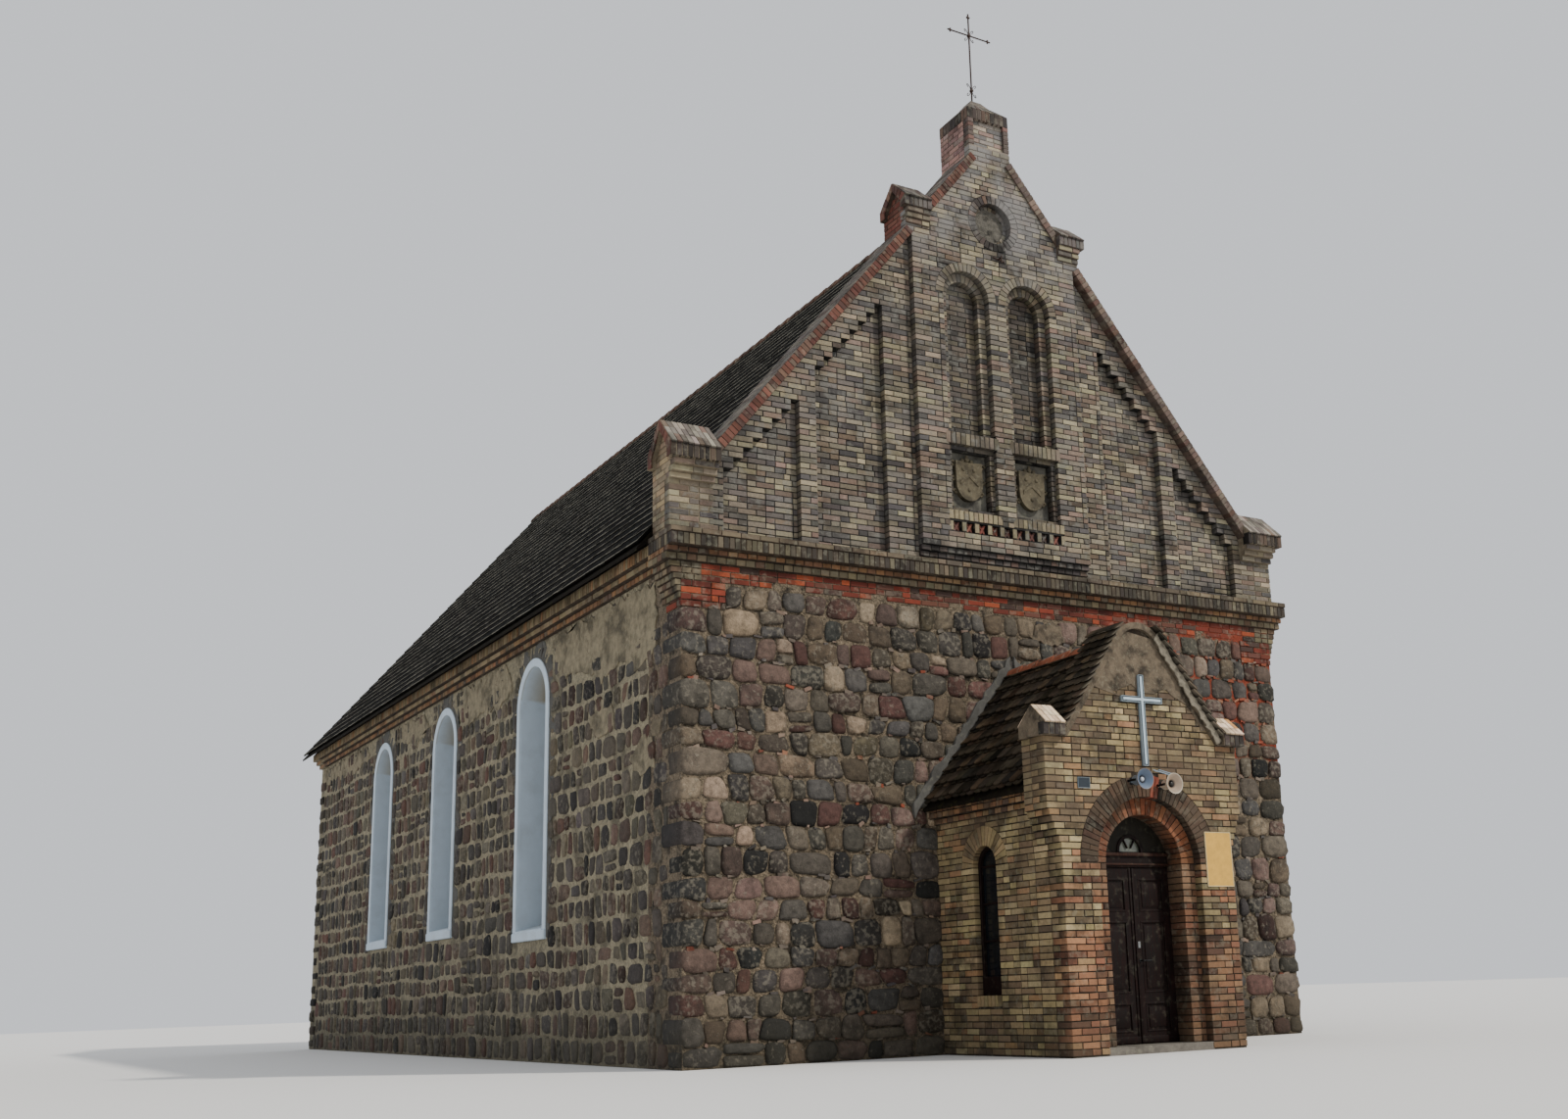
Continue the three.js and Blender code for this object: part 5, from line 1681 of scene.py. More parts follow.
def layPorchFront(rng):
    low = porch["start"]

    def lowerSpans(height):
        half = porchHalf(height)
        spans = [(-half, half, 0.25, 0.25)]
        return cutArch(spans, height, 0, porch["outer"], 0, porch["spring"], porch["ring"], 0.12)

    def orderSpans(height):
        return [(-porch["outer"], -porch["inner"], 0, 0.26), (porch["inner"], porch["outer"], 0.26, 0)]

    def topSpans(height):
        half = porchTopHalf(height)
        return [(-half, half, 0, 0)] if half > 0.06 else []

    front = frontFace(porch["front"])
    pile = {}
    # the right pier gets the darker bricks of painted shade
    for side, look in ((-1, pierBrick), (1, shadedPier)):
        def pierSpans(height):
            return [span for span in lowerSpans(height) if span[0] * side > 0 or span[1] * side > 0]

        layBricks(pile, front, pierSpans, low, low + 18 * course, look, rng, deepRows=pierDepths)
    for first, last, look in ((18, 30, mixedBrick), (30, 47, porchBrick)):
        heights = (low + first * course, low + last * course)
        layBricks(pile, front, lowerSpans, *heights, look, rng, deepRows=pierDepths)
    layBricks(pile, front, topSpans, low + 47 * course, low + 58 * course, porchBrick, rng)
    centre = (0, porch["spring"])
    count = 42
    for turn in range(count):
        first, last = math.pi * turn / count, math.pi * (turn + 1) / count
        look = paintedBrick if turn in (18, 19) else archBrick
        split = porch["outer"] + 0.13
        cuts = (porch["outer"], porch["ring"]) if turn % 3 else (porch["outer"], split, porch["ring"])
        for inner, outer in zip(cuts, cuts[1:]):
            depth, inside = (0.12, brickSize["proud"]) if inner < split else (0.01, 0)
            layRing(pile, front, centre, inner, outer, first, last, look, rng, depth, count=1, inside=inside)
    shoulder = frontFace(porch["shoulder"])
    layBricks(pile, shoulder, orderSpans, low, porch["spring"], jambBrick, rng, rows=28)
    layRing(pile, shoulder, centre, porch["inner"], porch["outer"], 0, math.pi, innerArchBrick, rng, 0.26)
    buildPile(pile, "porch_front_bricks", "porchBrickwork")


# Sides of the piers and of the corbelled shoulders, then the long side with its window
def layPorchSide(word, side, rng):
    low = porch["start"]
    pile = {}
    face = sideFace(side * porch["half"])

    def sideSpans(height):
        row = math.floor((height - low) / course)
        start = porch["front"] + pierDepths[row % 2] + 0.011
        spans = [(start if height < porch["corbelLow"] else porch["back"], 0.0, 0, 0)]
        arch = [porchWindow[key] for key in ("centre", "half", "low", "spring", "ring")]
        return cutArch(spans, height, *arch, 0.13)

    layBricks(pile, face, sideSpans, low, low + 15 * course, porchBrick, rng)
    layBricks(pile, face, sideSpans, low + 15 * course, low + 37 * course, porchBrick, rng, firstRow=15)
    middle = (porchWindow["centre"], porchWindow["spring"])
    layRing(pile, face, middle, porchWindow["half"], porchWindow["ring"], 0, math.pi, yellowBrick, rng,
            0.12, width=0.072)
    sill = porchWindow["sill"]
    left, right = porchWindow["centre"] - porchWindow["half"], porchWindow["centre"] + porchWindow["half"]
    layUprights(pile, face, left, right, sill - 0.125, sill + 0.004, yellowBrick, rng, 0.12, proud=0.02)
    for turn in range(16):
        height = porch["corbelLow"] + turn * course
        out = porchHalf(height + 0.02)
        row = round((height - low) / course)
        span = oneSpan(porch["front"] + pierDepths[row % 2] + 0.011, porch["back"], 0, 0)
        layBricks(pile, sideFace(side * out), span, height, height + course, porchBrick, rng, row, rows=1)
    for bottom, top, proud in ((2.85, 2.925, 0.05), (2.925, 3.075, 0.12)):
        rows = 1 if proud < 0.1 else 2
        layBricks(pile, sideFace(side * (porch["half"] + proud)), oneSpan(porch["back"], 0), bottom, top,
                  orangeBrick, rng, rows=rows)
    buildPile(pile, f"porch_side_bricks_{word}", "porchBrickwork")


# Lichened cap at the foot of the coping
def layPorchCap(word, side, rng):
    pile = {}
    cap = {"inner": 1.25, "outer": 1.55, "front": -2.76, "back": -2.24, "ridgeAt": -2.50,
           "header": 3.78, "ridge": 4.01}
    for near in (True, False):
        capSlope(pile, cap, side, near, capCream, rng)
    left, right = sorted((side * cap["inner"], side * cap["outer"]))
    face = frontFace(cap["front"] + 0.02)
    layUprights(pile, face, left, right, 3.63, 3.775, darkBrick, rng, 0.1, over=0.006)
    buildPile(pile, f"porch_cap_bricks_{word}")


def layPorch():
    rng = np.random.default_rng(111)
    layPorchFront(rng)
    for word, side in sides:
        layPorchSide(word, side, rng)
        layPorchCap(word, side, rng)


layPorch()
print("stage: the porch is laid")

# Roofs: rows of tiles down each slope, each row lying on the one under it
naveTiles = {
    "ridge": 12.47, "slope": 1.187, "half": 5.24, "from": 0.53, "to": 19.80, "pitch": 0.30, "width": 0.18,
    "lift": 0.060, "thick": 0.036, "shape": "naveTile", "short": 0.082,
    # the foot is a painted highlight: a light line along each tile's front edge, just under its narrow face
    "foot": (0.31, 0.295, 0.245, 1.0, 4.0, 0.95),
    "look": makeLook((50, 42, 36, 40), (70, 53, 42, 25), (35, 32, 28, 35), spread=0.03),
}
porchTiles = {
    "ridge": 4.93, "slope": 1.25, "half": 1.50, "from": -2.16, "to": 0.0, "pitch": 0.24, "width": 0.165,
    # the foot is painted shade: each tile turns near black towards its underside
    "lift": 0.066, "thick": 0.028, "shape": "porchTile", "foot": (0.006, 0.005, 0.004, 0.8, 1.0, 0.0),
    "look": makeLook((260, 230, 190, 40), (225, 200, 170, 30), (300, 250, 200, 20), (180, 165, 145, 10),
                     spread=0.14),
}


def layTiles(roof, side, name, isDouble):
    rng = np.random.default_rng(121 + side + (10 if isDouble else 0))
    length = math.hypot(1, roof["slope"])
    down = np.array((side / length, 0, -roof["slope"] / length))
    out = np.array((side * roof["slope"] / length, 0, 1 / length))
    ridge = np.array((0, frontY, roof["ridge"]))
    run = roof["half"] * length - roof.get("short", 0.055)
    pile = {}
    rows = int((run - roof.get("top", 0.0)) / roof["pitch"]) + 1
    for row in range(rows):
        for layer in range(2 if isDouble else 1):
            lowEnd = run - row * roof["pitch"] - layer * 0.035
            highEnd = max(roof.get("top", 0.02), lowEnd - roof["pitch"] - 0.05)
            shift = 0.5 if (row + layer) % 2 else 0.0
            count = math.ceil((roof["to"] - roof["from"]) / roof["width"])
            for turn in range(-1, count + 1):
                left = roof["from"] + (turn + shift) * roof["width"] + 0.001
                right = min(roof["to"], left + roof["width"] - 0.002)
                left = max(roof["from"], left)
                if right - left < 0.04 or lowEnd - highEnd < 0.05:
                    continue
                sag = rng.normal(0, 0.004)
                lift = roof["lift"] + layer * roof["thick"] - roof["thick"] + rng.normal(0, 0.0015)
                corners = []
                for (a, b), high in zip(squareOf(left, right, lowEnd, highEnd), (lift, lift, 0.006, 0.006)):
                    fall = b + (sag if high > 0.01 else 0)
                    corners.append(ridge + np.array((0, a, 0)) + fall * down + high * out)
                colour = tintOf(roof["look"], rng)
                thick = roof["thick"]
                addCopy(pile, roof["shape"], corners, out, thick, thick, 0.0, colour, rng.random())
    buildPile(pile, name, "rooftile", foot=roof["foot"])


# Tiles swept up over the coping of the porch gable
vergeTiles = {
    **porchTiles,
    "ridge": 5.40, "slope": 1.397, "half": 1.235, "from": -2.74, "to": -2.13, "pitch": 0.12, "width": 0.15,
    # the foot is a painted highlight: the lower side of each tile is lighter
    "lift": 0.085, "thick": 0.022, "top": 0.42, "short": 0.0, "foot": (0.21, 0.19, 0.15, 0.5, 1.0, 0.0),
}
for word, side in sides:
    layTiles(vergeTiles, side, f"porch_verge_tiles_{word}", False)
    layTiles(naveTiles, side, f"nave_roof_tiles_{word}", False)
    layTiles(porchTiles, side, f"porch_roof_tiles_{word}", True)


# Half round ridge tiles, each with a lip over the next
def layRidge(name, ridge, start, end, radius, tileLength, finish):
    tile = addRod((0, frontY + start + tileLength / 2, ridge), radius, tileLength, 20, "NOTHING")
    with editing(tile):
        bpy.ops.mesh.bisect(plane_co=(0, 0, ridge), plane_no=(0, 0, 1), clear_inner=True)
    near = frontY + start
    with editing(tile, "VERT", lambda corner: corner.co.y < near + 0.01):
        bpy.ops.transform.resize(value=(1.13, 1, 1.13), center_override=(0, near, ridge))
    modify(tile, "SOLIDIFY", thickness=0.016, offset=-1)
    count = round((end - start) / (tileLength - 0.03))
    step = (0, (end - start - tileLength) / (count - 1), 0)
    modify(tile, "ARRAY", count=count, use_relative_offset=False, use_constant_offset=True,
           constant_offset_displace=step)
    smooth(finishShape(tile))
    return dress(tile, name, finish)


layRidge("nave_ridge_tiles", 12.42, 0.5, 19.8, 0.125, 0.38, "ridgeTile")
layRidge("porch_ridge_tiles", 4.885, -2.14, -0.02, 0.11, 0.36, "redRidgeTile")
print("stage: the roofs are tiled")

# Round-headed bands, reveals and frames: a section is drawn up one side, spun over the head and down again
def archBand(face, centre, sill, spring, inner, outer, near, far, steps=20):
    out = Vector(face["out"])
    along = Vector(face["along"])
    deselectAll()
    bpy.ops.mesh.primitive_plane_add(size=1, location=(0, 0, 0))
    band = bpy.context.object
    section = ((outer, near), (inner, near), (outer, far), (inner, far))
    for corner, (a, depth) in zip(band.data.vertices, section):
        corner.co = Vector(spot(face, centre + a, sill, depth))
    with editing(band):
        push(0, 0, spring - sill)
        turn = 1 if along.cross(Vector((0, 0, 1))).dot(out) < 0 else -1
        middle = spot(face, centre, spring)
        bpy.ops.mesh.spin(steps=steps, angle=math.pi * turn, center=tuple(middle), axis=tuple(out))
        push(0, 0, sill - spring)
    return finishShape(band)


def blockOn(face, a0, a1, b0, b1, near, far):
    points = [spot(face, a, b, depth) for a in (a0, a1) for b in (b0, b1) for depth in (near, far)]
    low, high = np.min(points, axis=0), np.max(points, axis=0)
    return addBox(low, high)


windowTrim = {
    "band": 0.12, "proud": 0.028, "reveal": 0.45, "lining": 0.010, "sill": 0.13, "sillProud": 0.045,
    "frame": 0.065, "frameDepth": 0.05, "bar": 0.030, "panes": 6,
    "white": (0.76, 0.815, 0.86), "cream": (0.62, 0.56, 0.43), "stain": (0.56, 0.585, 0.58),
}


# White band, lining of the reveal, ledge and sloping sill
def makeTrim(face, centre, sill, name):
    trim = windowTrim
    half, spring = fieldstone["window"]["half"], fieldstone["window"]["spring"]
    out = Vector(face["out"])
    band = archBand(face, centre, sill, spring, half - 0.004, half + trim["band"], -0.02, trim["proud"])
    bevelPiece(band, 0.006)
    lining = archBand(face, centre, sill, spring, half - trim["lining"], half + 0.004, -trim["reveal"], 0.0)
    reach = half + trim["band"]
    ledge = blockOn(face, centre - reach, centre + reach, sill - trim["sill"], sill, -0.02, trim["sillProud"])
    bevelPiece(ledge, 0.010)
    reach = half - trim["lining"]
    slope = blockOn(face, centre - reach, centre + reach, sill - 0.01, sill + 0.02, -trim["reveal"], 0.03)
    level = Vector(spot(face, 0, 0, -trim["reveal"]))

    def isBackTop(corner):
        return corner.co.z > sill + 0.01 and abs((corner.co - level).dot(out)) < 0.01

    with editing(slope, "VERT", isBackTop):
        bpy.ops.transform.translate(value=(0, 0, 0.13))
    plain = joined([band, lining, ledge, slope])
    smooth(plain)
    wall = Vector(spot(face, 0, 0, -0.01))

    def washAt(place):
        inside = (place - wall).dot(out) < 0
        if inside and sill + 0.1 < place.z < sill + 0.2:
            return trim["stain"]
        return trim["cream"] if inside and place.z > spring + 0.1 else trim["white"]

    tintPiece(plain, washAt)
    dress(plain, f"{name}_trim", "limewash")


# Ragged cement round the white band, as thick everywhere
def makeCement(face, centre, sill, name):
    size = fieldstone["window"]
    spring = size["spring"]
    out, along = Vector(face["out"]), Vector(face["along"])
    edge = size["half"] + windowTrim["band"]
    rim = edge + size["patch"]
    patch = archBand(face, centre, sill - 0.10, spring, edge - 0.01, rim, -0.02, 0.010, steps=28)
    with editing(patch, "EDGE", lambda edge: riseOf(edge) > 2):
        bpy.ops.mesh.subdivide(number_cuts=22)
    middle = Vector(spot(face, centre, 0))

    def isRim(corner):
        across = abs((corner.co - middle).dot(along))
        away = across if corner.co.z < spring else math.hypot(across, corner.co.z - spring)
        return away > edge + 0.5 * size["patch"]

    with editing(patch, "VERT", isRim):
        bpy.ops.transform.vertex_random(offset=0.10, uniform=1.0, normal=0.0, seed=int(10 * abs(centre)))
    for corner in patch.data.vertices:
        level = (corner.co - middle).dot(out)
        wanted = 0.010 if level > -0.005 else -0.02
        corner.co += out * (wanted - level)
    finishShape(patch)
    dress(patch, f"{name}_cement", "cement")


def makeFrame(face, centre, sill, name):
    trim = windowTrim
    spring = fieldstone["window"]["spring"]
    inner = fieldstone["window"]["half"] - trim["lining"]
    depth = -trim["reveal"]
    front = depth + trim["frameDepth"]
    left, right = centre - inner, centre + inner
    bar = trim["bar"] / 2
    parts = [
        archBand(face, centre, sill + 0.03, spring, inner - trim["frame"], inner, depth, front),
        blockOn(face, left, right, sill + 0.03, sill + 0.11, depth, front),
        blockOn(face, centre - bar, centre + bar, sill + 0.05, spring + inner - 0.03, depth, depth + 0.035),
    ]
    for turn in range(1, trim["panes"]):
        height = sill + (spring - sill) * turn / (trim["panes"] - 1)
        parts.append(blockOn(face, left, right, height - bar, height + bar, depth, depth + 0.030))
    dress(bevelPiece(joined(parts), 0.004), f"{name}_frame", "windowWood")


def makeWindow(face, centre, sill, name):
    for make in (makeTrim, makeCement, makeFrame):
        make(face, centre, sill, name)


for number, (centre, sill) in enumerate(fieldstone["windows"]):
    makeWindow(sideFace(-fieldstone["halfWidth"]), centre, sill, f"nave_left_window_{number + 1}")
    makeWindow(sideFace(fieldstone["halfWidth"]), centre, sill, f"nave_right_window_{number + 1}")
for (word, side), (centre, sill) in zip(sides, fieldstone["eastWindows"]):
    makeWindow(backFace(fieldstone["length"]), centre, sill, f"east_{word}_window")


def makePorchWindow(word, side):
    face = sideFace(side * porch["half"])
    centre, sill, spring = porchWindow["centre"], porchWindow["sill"], porchWindow["spring"]
    inner = porchWindow["half"] - 0.004
    left, right = centre - inner, centre + inner
    parts = [
        archBand(face, centre, sill, spring, inner - 0.045, inner, -0.12, -0.075, steps=14),
        blockOn(face, left, right, sill, sill + 0.23, -0.12, -0.07),
    ]
    for height in (1.35, 1.80, 2.25):
        parts.append(blockOn(face, left, right, height - 0.012, height + 0.012, -0.12, -0.095))
    dress(bevelPiece(joined(parts), 0.004), f"porch_{word}_window_frame", "darkWood")


for word, side in sides:
    makePorchWindow(word, side)
print("stage: windows have their trim")

# Doors: mouldings round each panel, a raised field in it, and the lock plate and handle
door = {
    "front": -2.25, "near": 0.0065, "far": 0.584, "low": 0.096, "top": 2.15, "stile": 0.095, "rail": 0.13,
    "panels": ((0.0, 0.19), (0.25, 0.72), (0.78, 1.0)), "sink": 0.012, "moulding": 0.024,
}


def makeLeaf(word, side):
    face = frontFace(door["front"])
    low, high = door["low"] + door["rail"], door["top"] - door["rail"]
    parts = []
    for start, end in door["panels"]:
        b0, b1 = low + start * (high - low), low + end * (high - low)
        a0, a1 = door["near"] + door["stile"], door["far"] - door["stile"]
        left, right = sorted((side * a0, side * a1))
        rim, sunk = 0.055, -door["sink"] - 0.004
        field = blockOn(face, left + rim, right - rim, b0 + rim, b1 - rim, sunk, -0.004)
        stepFront(field, (0.022, -0.008))
        parts.append(field)
        width = door["moulding"]
        inner = (b0 + width, b1 - width)
        for box in ((left, right, b0, b0 + width), (left, right, b1 - width, b1),
                    (left, left + width, *inner), (right - width, right, *inner)):
            strip = blockOn(face, *box, -door["sink"] - 0.002, 0.005)
            parts.append(bevelPiece(strip, 0.006, 2))
    left, right = sorted((side * (door["near"] + 0.001), side * (door["near"] + 0.034)))
    strip = blockOn(face, left, right, door["low"] + 0.02, door["top"] - 0.01, -0.002, 0.012)
    parts.append(bevelPiece(strip, 0.006, 2))
    left, right = sorted((side * (door["near"] + 0.006), side * (door["far"] - 0.006)))
    board = blockOn(face, left, right, door["low"] + 0.004, door["low"] + 0.085, -0.002, 0.014)
    parts.append(bevelPiece(board, 0.006, 2))
    leaf = joined(parts)
    smooth(leaf, 30)
    dress(leaf, f"door_mouldings_{word}", "darkWood", f"door_{word}")


for word, side in sides:
    makeLeaf(word, side)


def makeLock():
    face = frontFace(door["front"])
    plate = blockOn(face, 0.045, 0.080, 1.20, 1.275, -0.001, 0.004)
    bevelPiece(plate, 0.002, 2)
    dress(plate, "door_lock_plate", "greyPaint", "door_right")
    hub = spot(face, 0.062, 1.05)
    rose = bevelPiece(addRod(hub + (0, -0.006, 0), 0.022, 0.012, 20), 0.003, 2)
    neck = addRod(hub + (0, -0.03, 0), 0.009, 0.05, 16)
    turning = (hub[0] + 0.014, frontY + door["front"] - 0.046, hub[2])
    with editing(neck, "FACE", lambda plate: plate.normal.y < -0.9):
        for turn in range(4):
            bpy.ops.transform.rotate(value=-math.pi / 8, orient_axis="Z", center_override=turning)
            push(0.004 + 0.004 * turn, -0.006 + 0.0015 * turn, 0)
        push(0.07, 0, 0)
    handle = joined([rose, neck])
    smooth(handle, 40)
    dress(handle, "door_handle", "darkMetal", "door_right")


makeLock()


# Boarded head over the transom, the fanlight's rim and its two bars
def makeHead():
    face = frontFace(door["front"])
    board = addRod(spot(face, 0, porch["spring"], 0.003), 0.585, 0.010, 64)
    with editing(board):
        bpy.ops.mesh.bisect(plane_co=(0, 0, 2.335), plane_no=(0, 0, 1), clear_inner=True, use_fill=True)
    combineWith(board, archBand(face, 0, 2.30, 2.34, 0.0, 0.188, -0.05, 0.05), "DIFFERENCE")
    dress(board, "door_head_board", "oliveBoard")
    rim = archBand(face, 0, 2.33, 2.34, 0.165, 0.205, -0.02, 0.022, steps=24)
    parts = [bevelPiece(rim, 0.004, 2)]
    for angle in (math.radians(60), math.radians(120)):
        bar = addBox((-0.006, frontY - 2.262, 0.05), (0.006, frontY - 2.236, 0.176))
        bar.data.transform(Matrix.Rotation(math.pi / 2 - angle, 4, "Y"))
        bar.data.transform(Matrix.Translation((0, 0, 2.34)))
        parts.append(bar)
    dress(smooth(joined(parts)), "fanlight_bars", "darkWood")


# The transom: a moulded rail between the doors and the boarded head
def makeTransom():
    face = frontFace(door["front"])
    parts = []
    rails = ((2.155, 2.325, 0.583, 0.022), (2.175, 2.200, 0.583, 0.040), (2.285, 2.325, 0.575, 0.052))
    for low, high, reach, proud in rails:
        parts.append(bevelPiece(blockOn(face, -reach, reach, low, high, -0.002, proud), 0.006, 2))
    dress(smooth(joined(parts)), "door_transom_rail", "brownWood")


makeHead()
makeTransom()
print("stage: doors are finished")


# White cross: a box section with a raised rim, standing on the brick face
def makePorchCross():
    half, reach, arm, low, high = 0.035, 0.31, 4.135, 3.33, 4.44
    front, back = frontY - 2.69, frontY + porch["front"]
    post = addBox((-half, front, low), (half, back, high))
    beam = addBox((-reach, front, arm - half), (reach, back, arm + half))
    combineWith(post, beam, "UNION")
    stepFront(post, (0.009, 0.012), (0.006, 0.0), (0.005, -0.010), merge=True)
    bevelPiece(post, 0.0015, 2)

    # Painted shade: the groove inside the rim and the sides behind the front face are painted dark, the sides
    # darker towards the wall
    def paintAt(place):
        return (0.16, 0.18, 0.20) if place.y > front + 0.008 else (0.70, 0.77, 0.81)

    tintPiece(post, paintAt)
    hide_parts("porch_cross")
    dress(post, "porch_cross_frame", "tintedPaint")


makePorchCross()


# Horns: a bell spun round its axis, with a driver behind it and a bracket to the wall
def makeHorn(name, node, x, z, colours):
    inside = [(0.030, 0.185), (0.038, 0.193), (0.060, 0.213), (0.088, 0.238), (0.116, 0.260), (0.125, 0.266)]
    outside = [(0.126, 0.260), (0.118, 0.250), (0.090, 0.226), (0.066, 0.203), (0.060, 0.085), (0.056, 0.078)]
    driver = [(0.030, 0.074), (0.024, 0.070), (0.024, 0.010), (0.040, 0.008), (0.040, 0.000), (0.0, 0.000)]
    profile = [(0.0, 0.200), (0.018, 0.198), *inside, *outside, *driver]
    deselectAll()
    bpy.ops.mesh.primitive_plane_add(size=1, location=(0, 0, 0))
    horn = bpy.context.object
    face = frontFace(porch["front"])
    points = [tuple(spot(face, x + radius, z, out)) for radius, out in profile]
    horn.data.clear_geometry()
    horn.data.from_pydata(points, [(turn, turn + 1) for turn in range(len(points) - 1)], [])
    with editing(horn):
        bpy.ops.mesh.spin(steps=36, angle=2 * math.pi, center=tuple(spot(face, x, z)), axis=(0, 1, 0))
    finishShape(horn)
    smooth(horn, 50)
    radii, levels = zip(*inside)

    def paintAt(place):
        radius, level = math.hypot(place.x - x, place.z - z), frontY + porch["front"] - place.y
        if radius > 0.120:
            return colours["rim"]
        if level < np.interp(radius, radii, levels) - 0.006:
            return colours["outside"]
        return colours["throat"] if radius < 0.045 else colours["bell"]

    tintPiece(horn, paintAt)
    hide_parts(node)
    dress(horn, name, "tintedPaint")
    bulb = smooth(addBall(spot(face, x, z, 0.2), 0.028, 24, 0.7), 60)
    tintPiece(bulb, lambda place: colours["core"])
    dress(bulb, f"{name}_core", "tintedPaint")
    arms = []
    for middle in (x - 0.064, x + 0.064):
        arms.append(blockOn(face, middle - 0.002, middle + 0.002, z - 0.014, z + 0.014, 0.012, 0.16))
    arms.append(blockOn(face, x - 0.066, x + 0.066, z - 0.014, z + 0.014, 0.008, 0.013))
    arms.append(blockOn(face, x - 0.03, x + 0.03, z - 0.045, z + 0.045, 0.002, 0.010))
    bracket = joined(arms)
    bevelPiece(bracket, 0.0012)
    dress(bracket, f"{name}_bracket", "darkMetal")


greyHorn = {"rim": (0.50, 0.45, 0.42), "bell": (0.33, 0.39, 0.47), "throat": (0.09, 0.10, 0.12),
            "outside": (0.42, 0.46, 0.50), "core": (0.74, 0.76, 0.79)}
creamHorn = {"rim": (0.86, 0.83, 0.76), "bell": (0.64, 0.56, 0.48), "throat": (0.06, 0.05, 0.045),
             "outside": (0.76, 0.70, 0.62), "core": (0.07, 0.055, 0.05)}
makeHorn("horn_left", "speaker_left", -0.21, 3.14, greyHorn)
makeHorn("horn_right", "speaker_right", 0.24, 3.10, creamHorn)


# Two plain plates with raised rims and a screw at each corner
def makePlate(name, left, right, low, high, colour, rimColour):
    face = frontFace(porch["front"])
    plate = blockOn(face, left, right, low, high, 0.003, 0.022)
    stepFront(plate, (0.012, 0.003))
    bevelPiece(plate, 0.0015, 2)
    parts = [plate]
    for a in (left + 0.02, right - 0.02):
        for b in (low + 0.02, high - 0.02):
            parts.append(bevelPiece(addRod(spot(face, a, b, 0.0205), 0.005, 0.004, 12), 0.001))
    whole = joined(parts)

    def paintAt(place):
        inner = min(place.x - left, right - place.x, place.z - low, high - place.z)
        return rimColour if inner < 0.010 else colour

    tintPiece(whole, paintAt)
    dress(whole, name, "tintedPaint")


makePlate("notice_plate", 0.87, 1.29, 1.90, 2.56, (0.80, 0.62, 0.25), (0.78, 0.73, 0.58))
makePlate("number_plate", -1.03, -0.85, 3.03, 3.16, (0.10, 0.145, 0.18), (0.38, 0.43, 0.46))


# Iron cross on the pinnacle: round bars, leaf tips and scrolls at the crossing and the foot
iron = {
    "y": 0.25, "low": 13.69, "top": 15.23, "arm": 14.86, "reach": 0.39, "radius": 0.013,
    "knots": (14.86, 13.93),
}


def makeBar(start, end, radius):
    start, end = Vector(start), Vector(end)
    way = end - start
    deselectAll()
    bpy.ops.mesh.primitive_cylinder_add(vertices=10, radius=radius, depth=way.length, location=(0, 0, 0))
    bar = bpy.context.object
    turn = way.to_track_quat("Z", "Y").to_matrix().to_4x4()
    bar.matrix_world = Matrix.Translation((start + end) / 2) @ turn
    return bevelPiece(settle(bar), radius * 0.3)


def makeScroll(centre, turnX, turnZ):
    points = []
    for step in range(15):
        angle = math.radians(20 * step)
        reach = 0.088 - 0.0042 * step
        x = turnX * (0.012 + 0.052 * (1 - math.cos(angle) * math.exp(-0.10 * step)) * 0.9)
        z = turnZ * (0.012 + reach * math.sin(angle * 0.75) + 0.004 * step)
        points.append((centre[0] + x, centre[1], centre[2] + z))
    return bendWire(points, 0.0055, 1)


def makeIronCross():
    y = frontY + iron["y"]
    reach, arm = iron["reach"], iron["arm"]
    parts = [makeBar((0, y, iron["low"] - 0.01), (0, y, iron["top"]), iron["radius"])]
    parts.append(makeBar((-reach, y, arm), (reach, y, arm), iron["radius"] * 0.9))
    for height in iron["knots"]:
        parts += [makeScroll((0, y, height), turnX, turnZ) for turnX in (-1, 1) for turnZ in (-1, 1)]
        knot = addBox((-0.024, y - 0.024, height - 0.018), (0.024, y + 0.024, height + 0.018))
        parts.append(bevelPiece(knot, 0.007, 2))
    for x, z in ((0.05 - reach, arm), (reach - 0.05, arm), (0, iron["top"] - 0.06)):
        wide = (0.012, 0.012, 0.030) if x else (0.030, 0.012, 0.012)
        tip = addBox((x - wide[0], y - wide[1], z - wide[2]), (x + wide[0], y + wide[1], z + wide[2]))
        parts.append(bevelPiece(tip, 0.005, 2))
    foot = addBox((-0.038, y - 0.038, iron["low"]), (0.038, y + 0.038, iron["low"] + 0.03))
    parts.append(bevelPiece(foot, 0.008, 2))
    cross = joined(parts)
    smooth(cross, 40)
    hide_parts("iron_cross")
    dress(cross, "iron_cross_bars", "rustyIron")


makeIronCross()


# Two pale straps that hold the right horn from above
def makeStraps():
    face = frontFace(porch["front"])
    parts = []
    for start, end in (((0.14, 3.290, 0.0), (0.20, 3.205, 0.22)), ((0.225, 3.295, 0.0), (0.24, 3.215, 0.23))):
        parts.append(makeBar(spot(face, *start), spot(face, *end), 0.008))
    dress(joined(parts), "horn_right_straps", "whitePaint")


makeStraps()
print("stage: fittings are in place")

# Chips in the joints, patches of mortar and plaster, and small irons
chipLook = makeLook((500, 260, 190, 50), (420, 240, 190, 30), (520, 360, 280, 20), spread=0.12)
rubbleLook = makeLook((400, 360, 320, 50), (300, 280, 270, 30), (480, 400, 350, 20), spread=0.14)
chips = {"red": 150, "grey": 520, "wide": (0.035, 0.12), "high": (0.022, 0.055), "proud": 0.026}


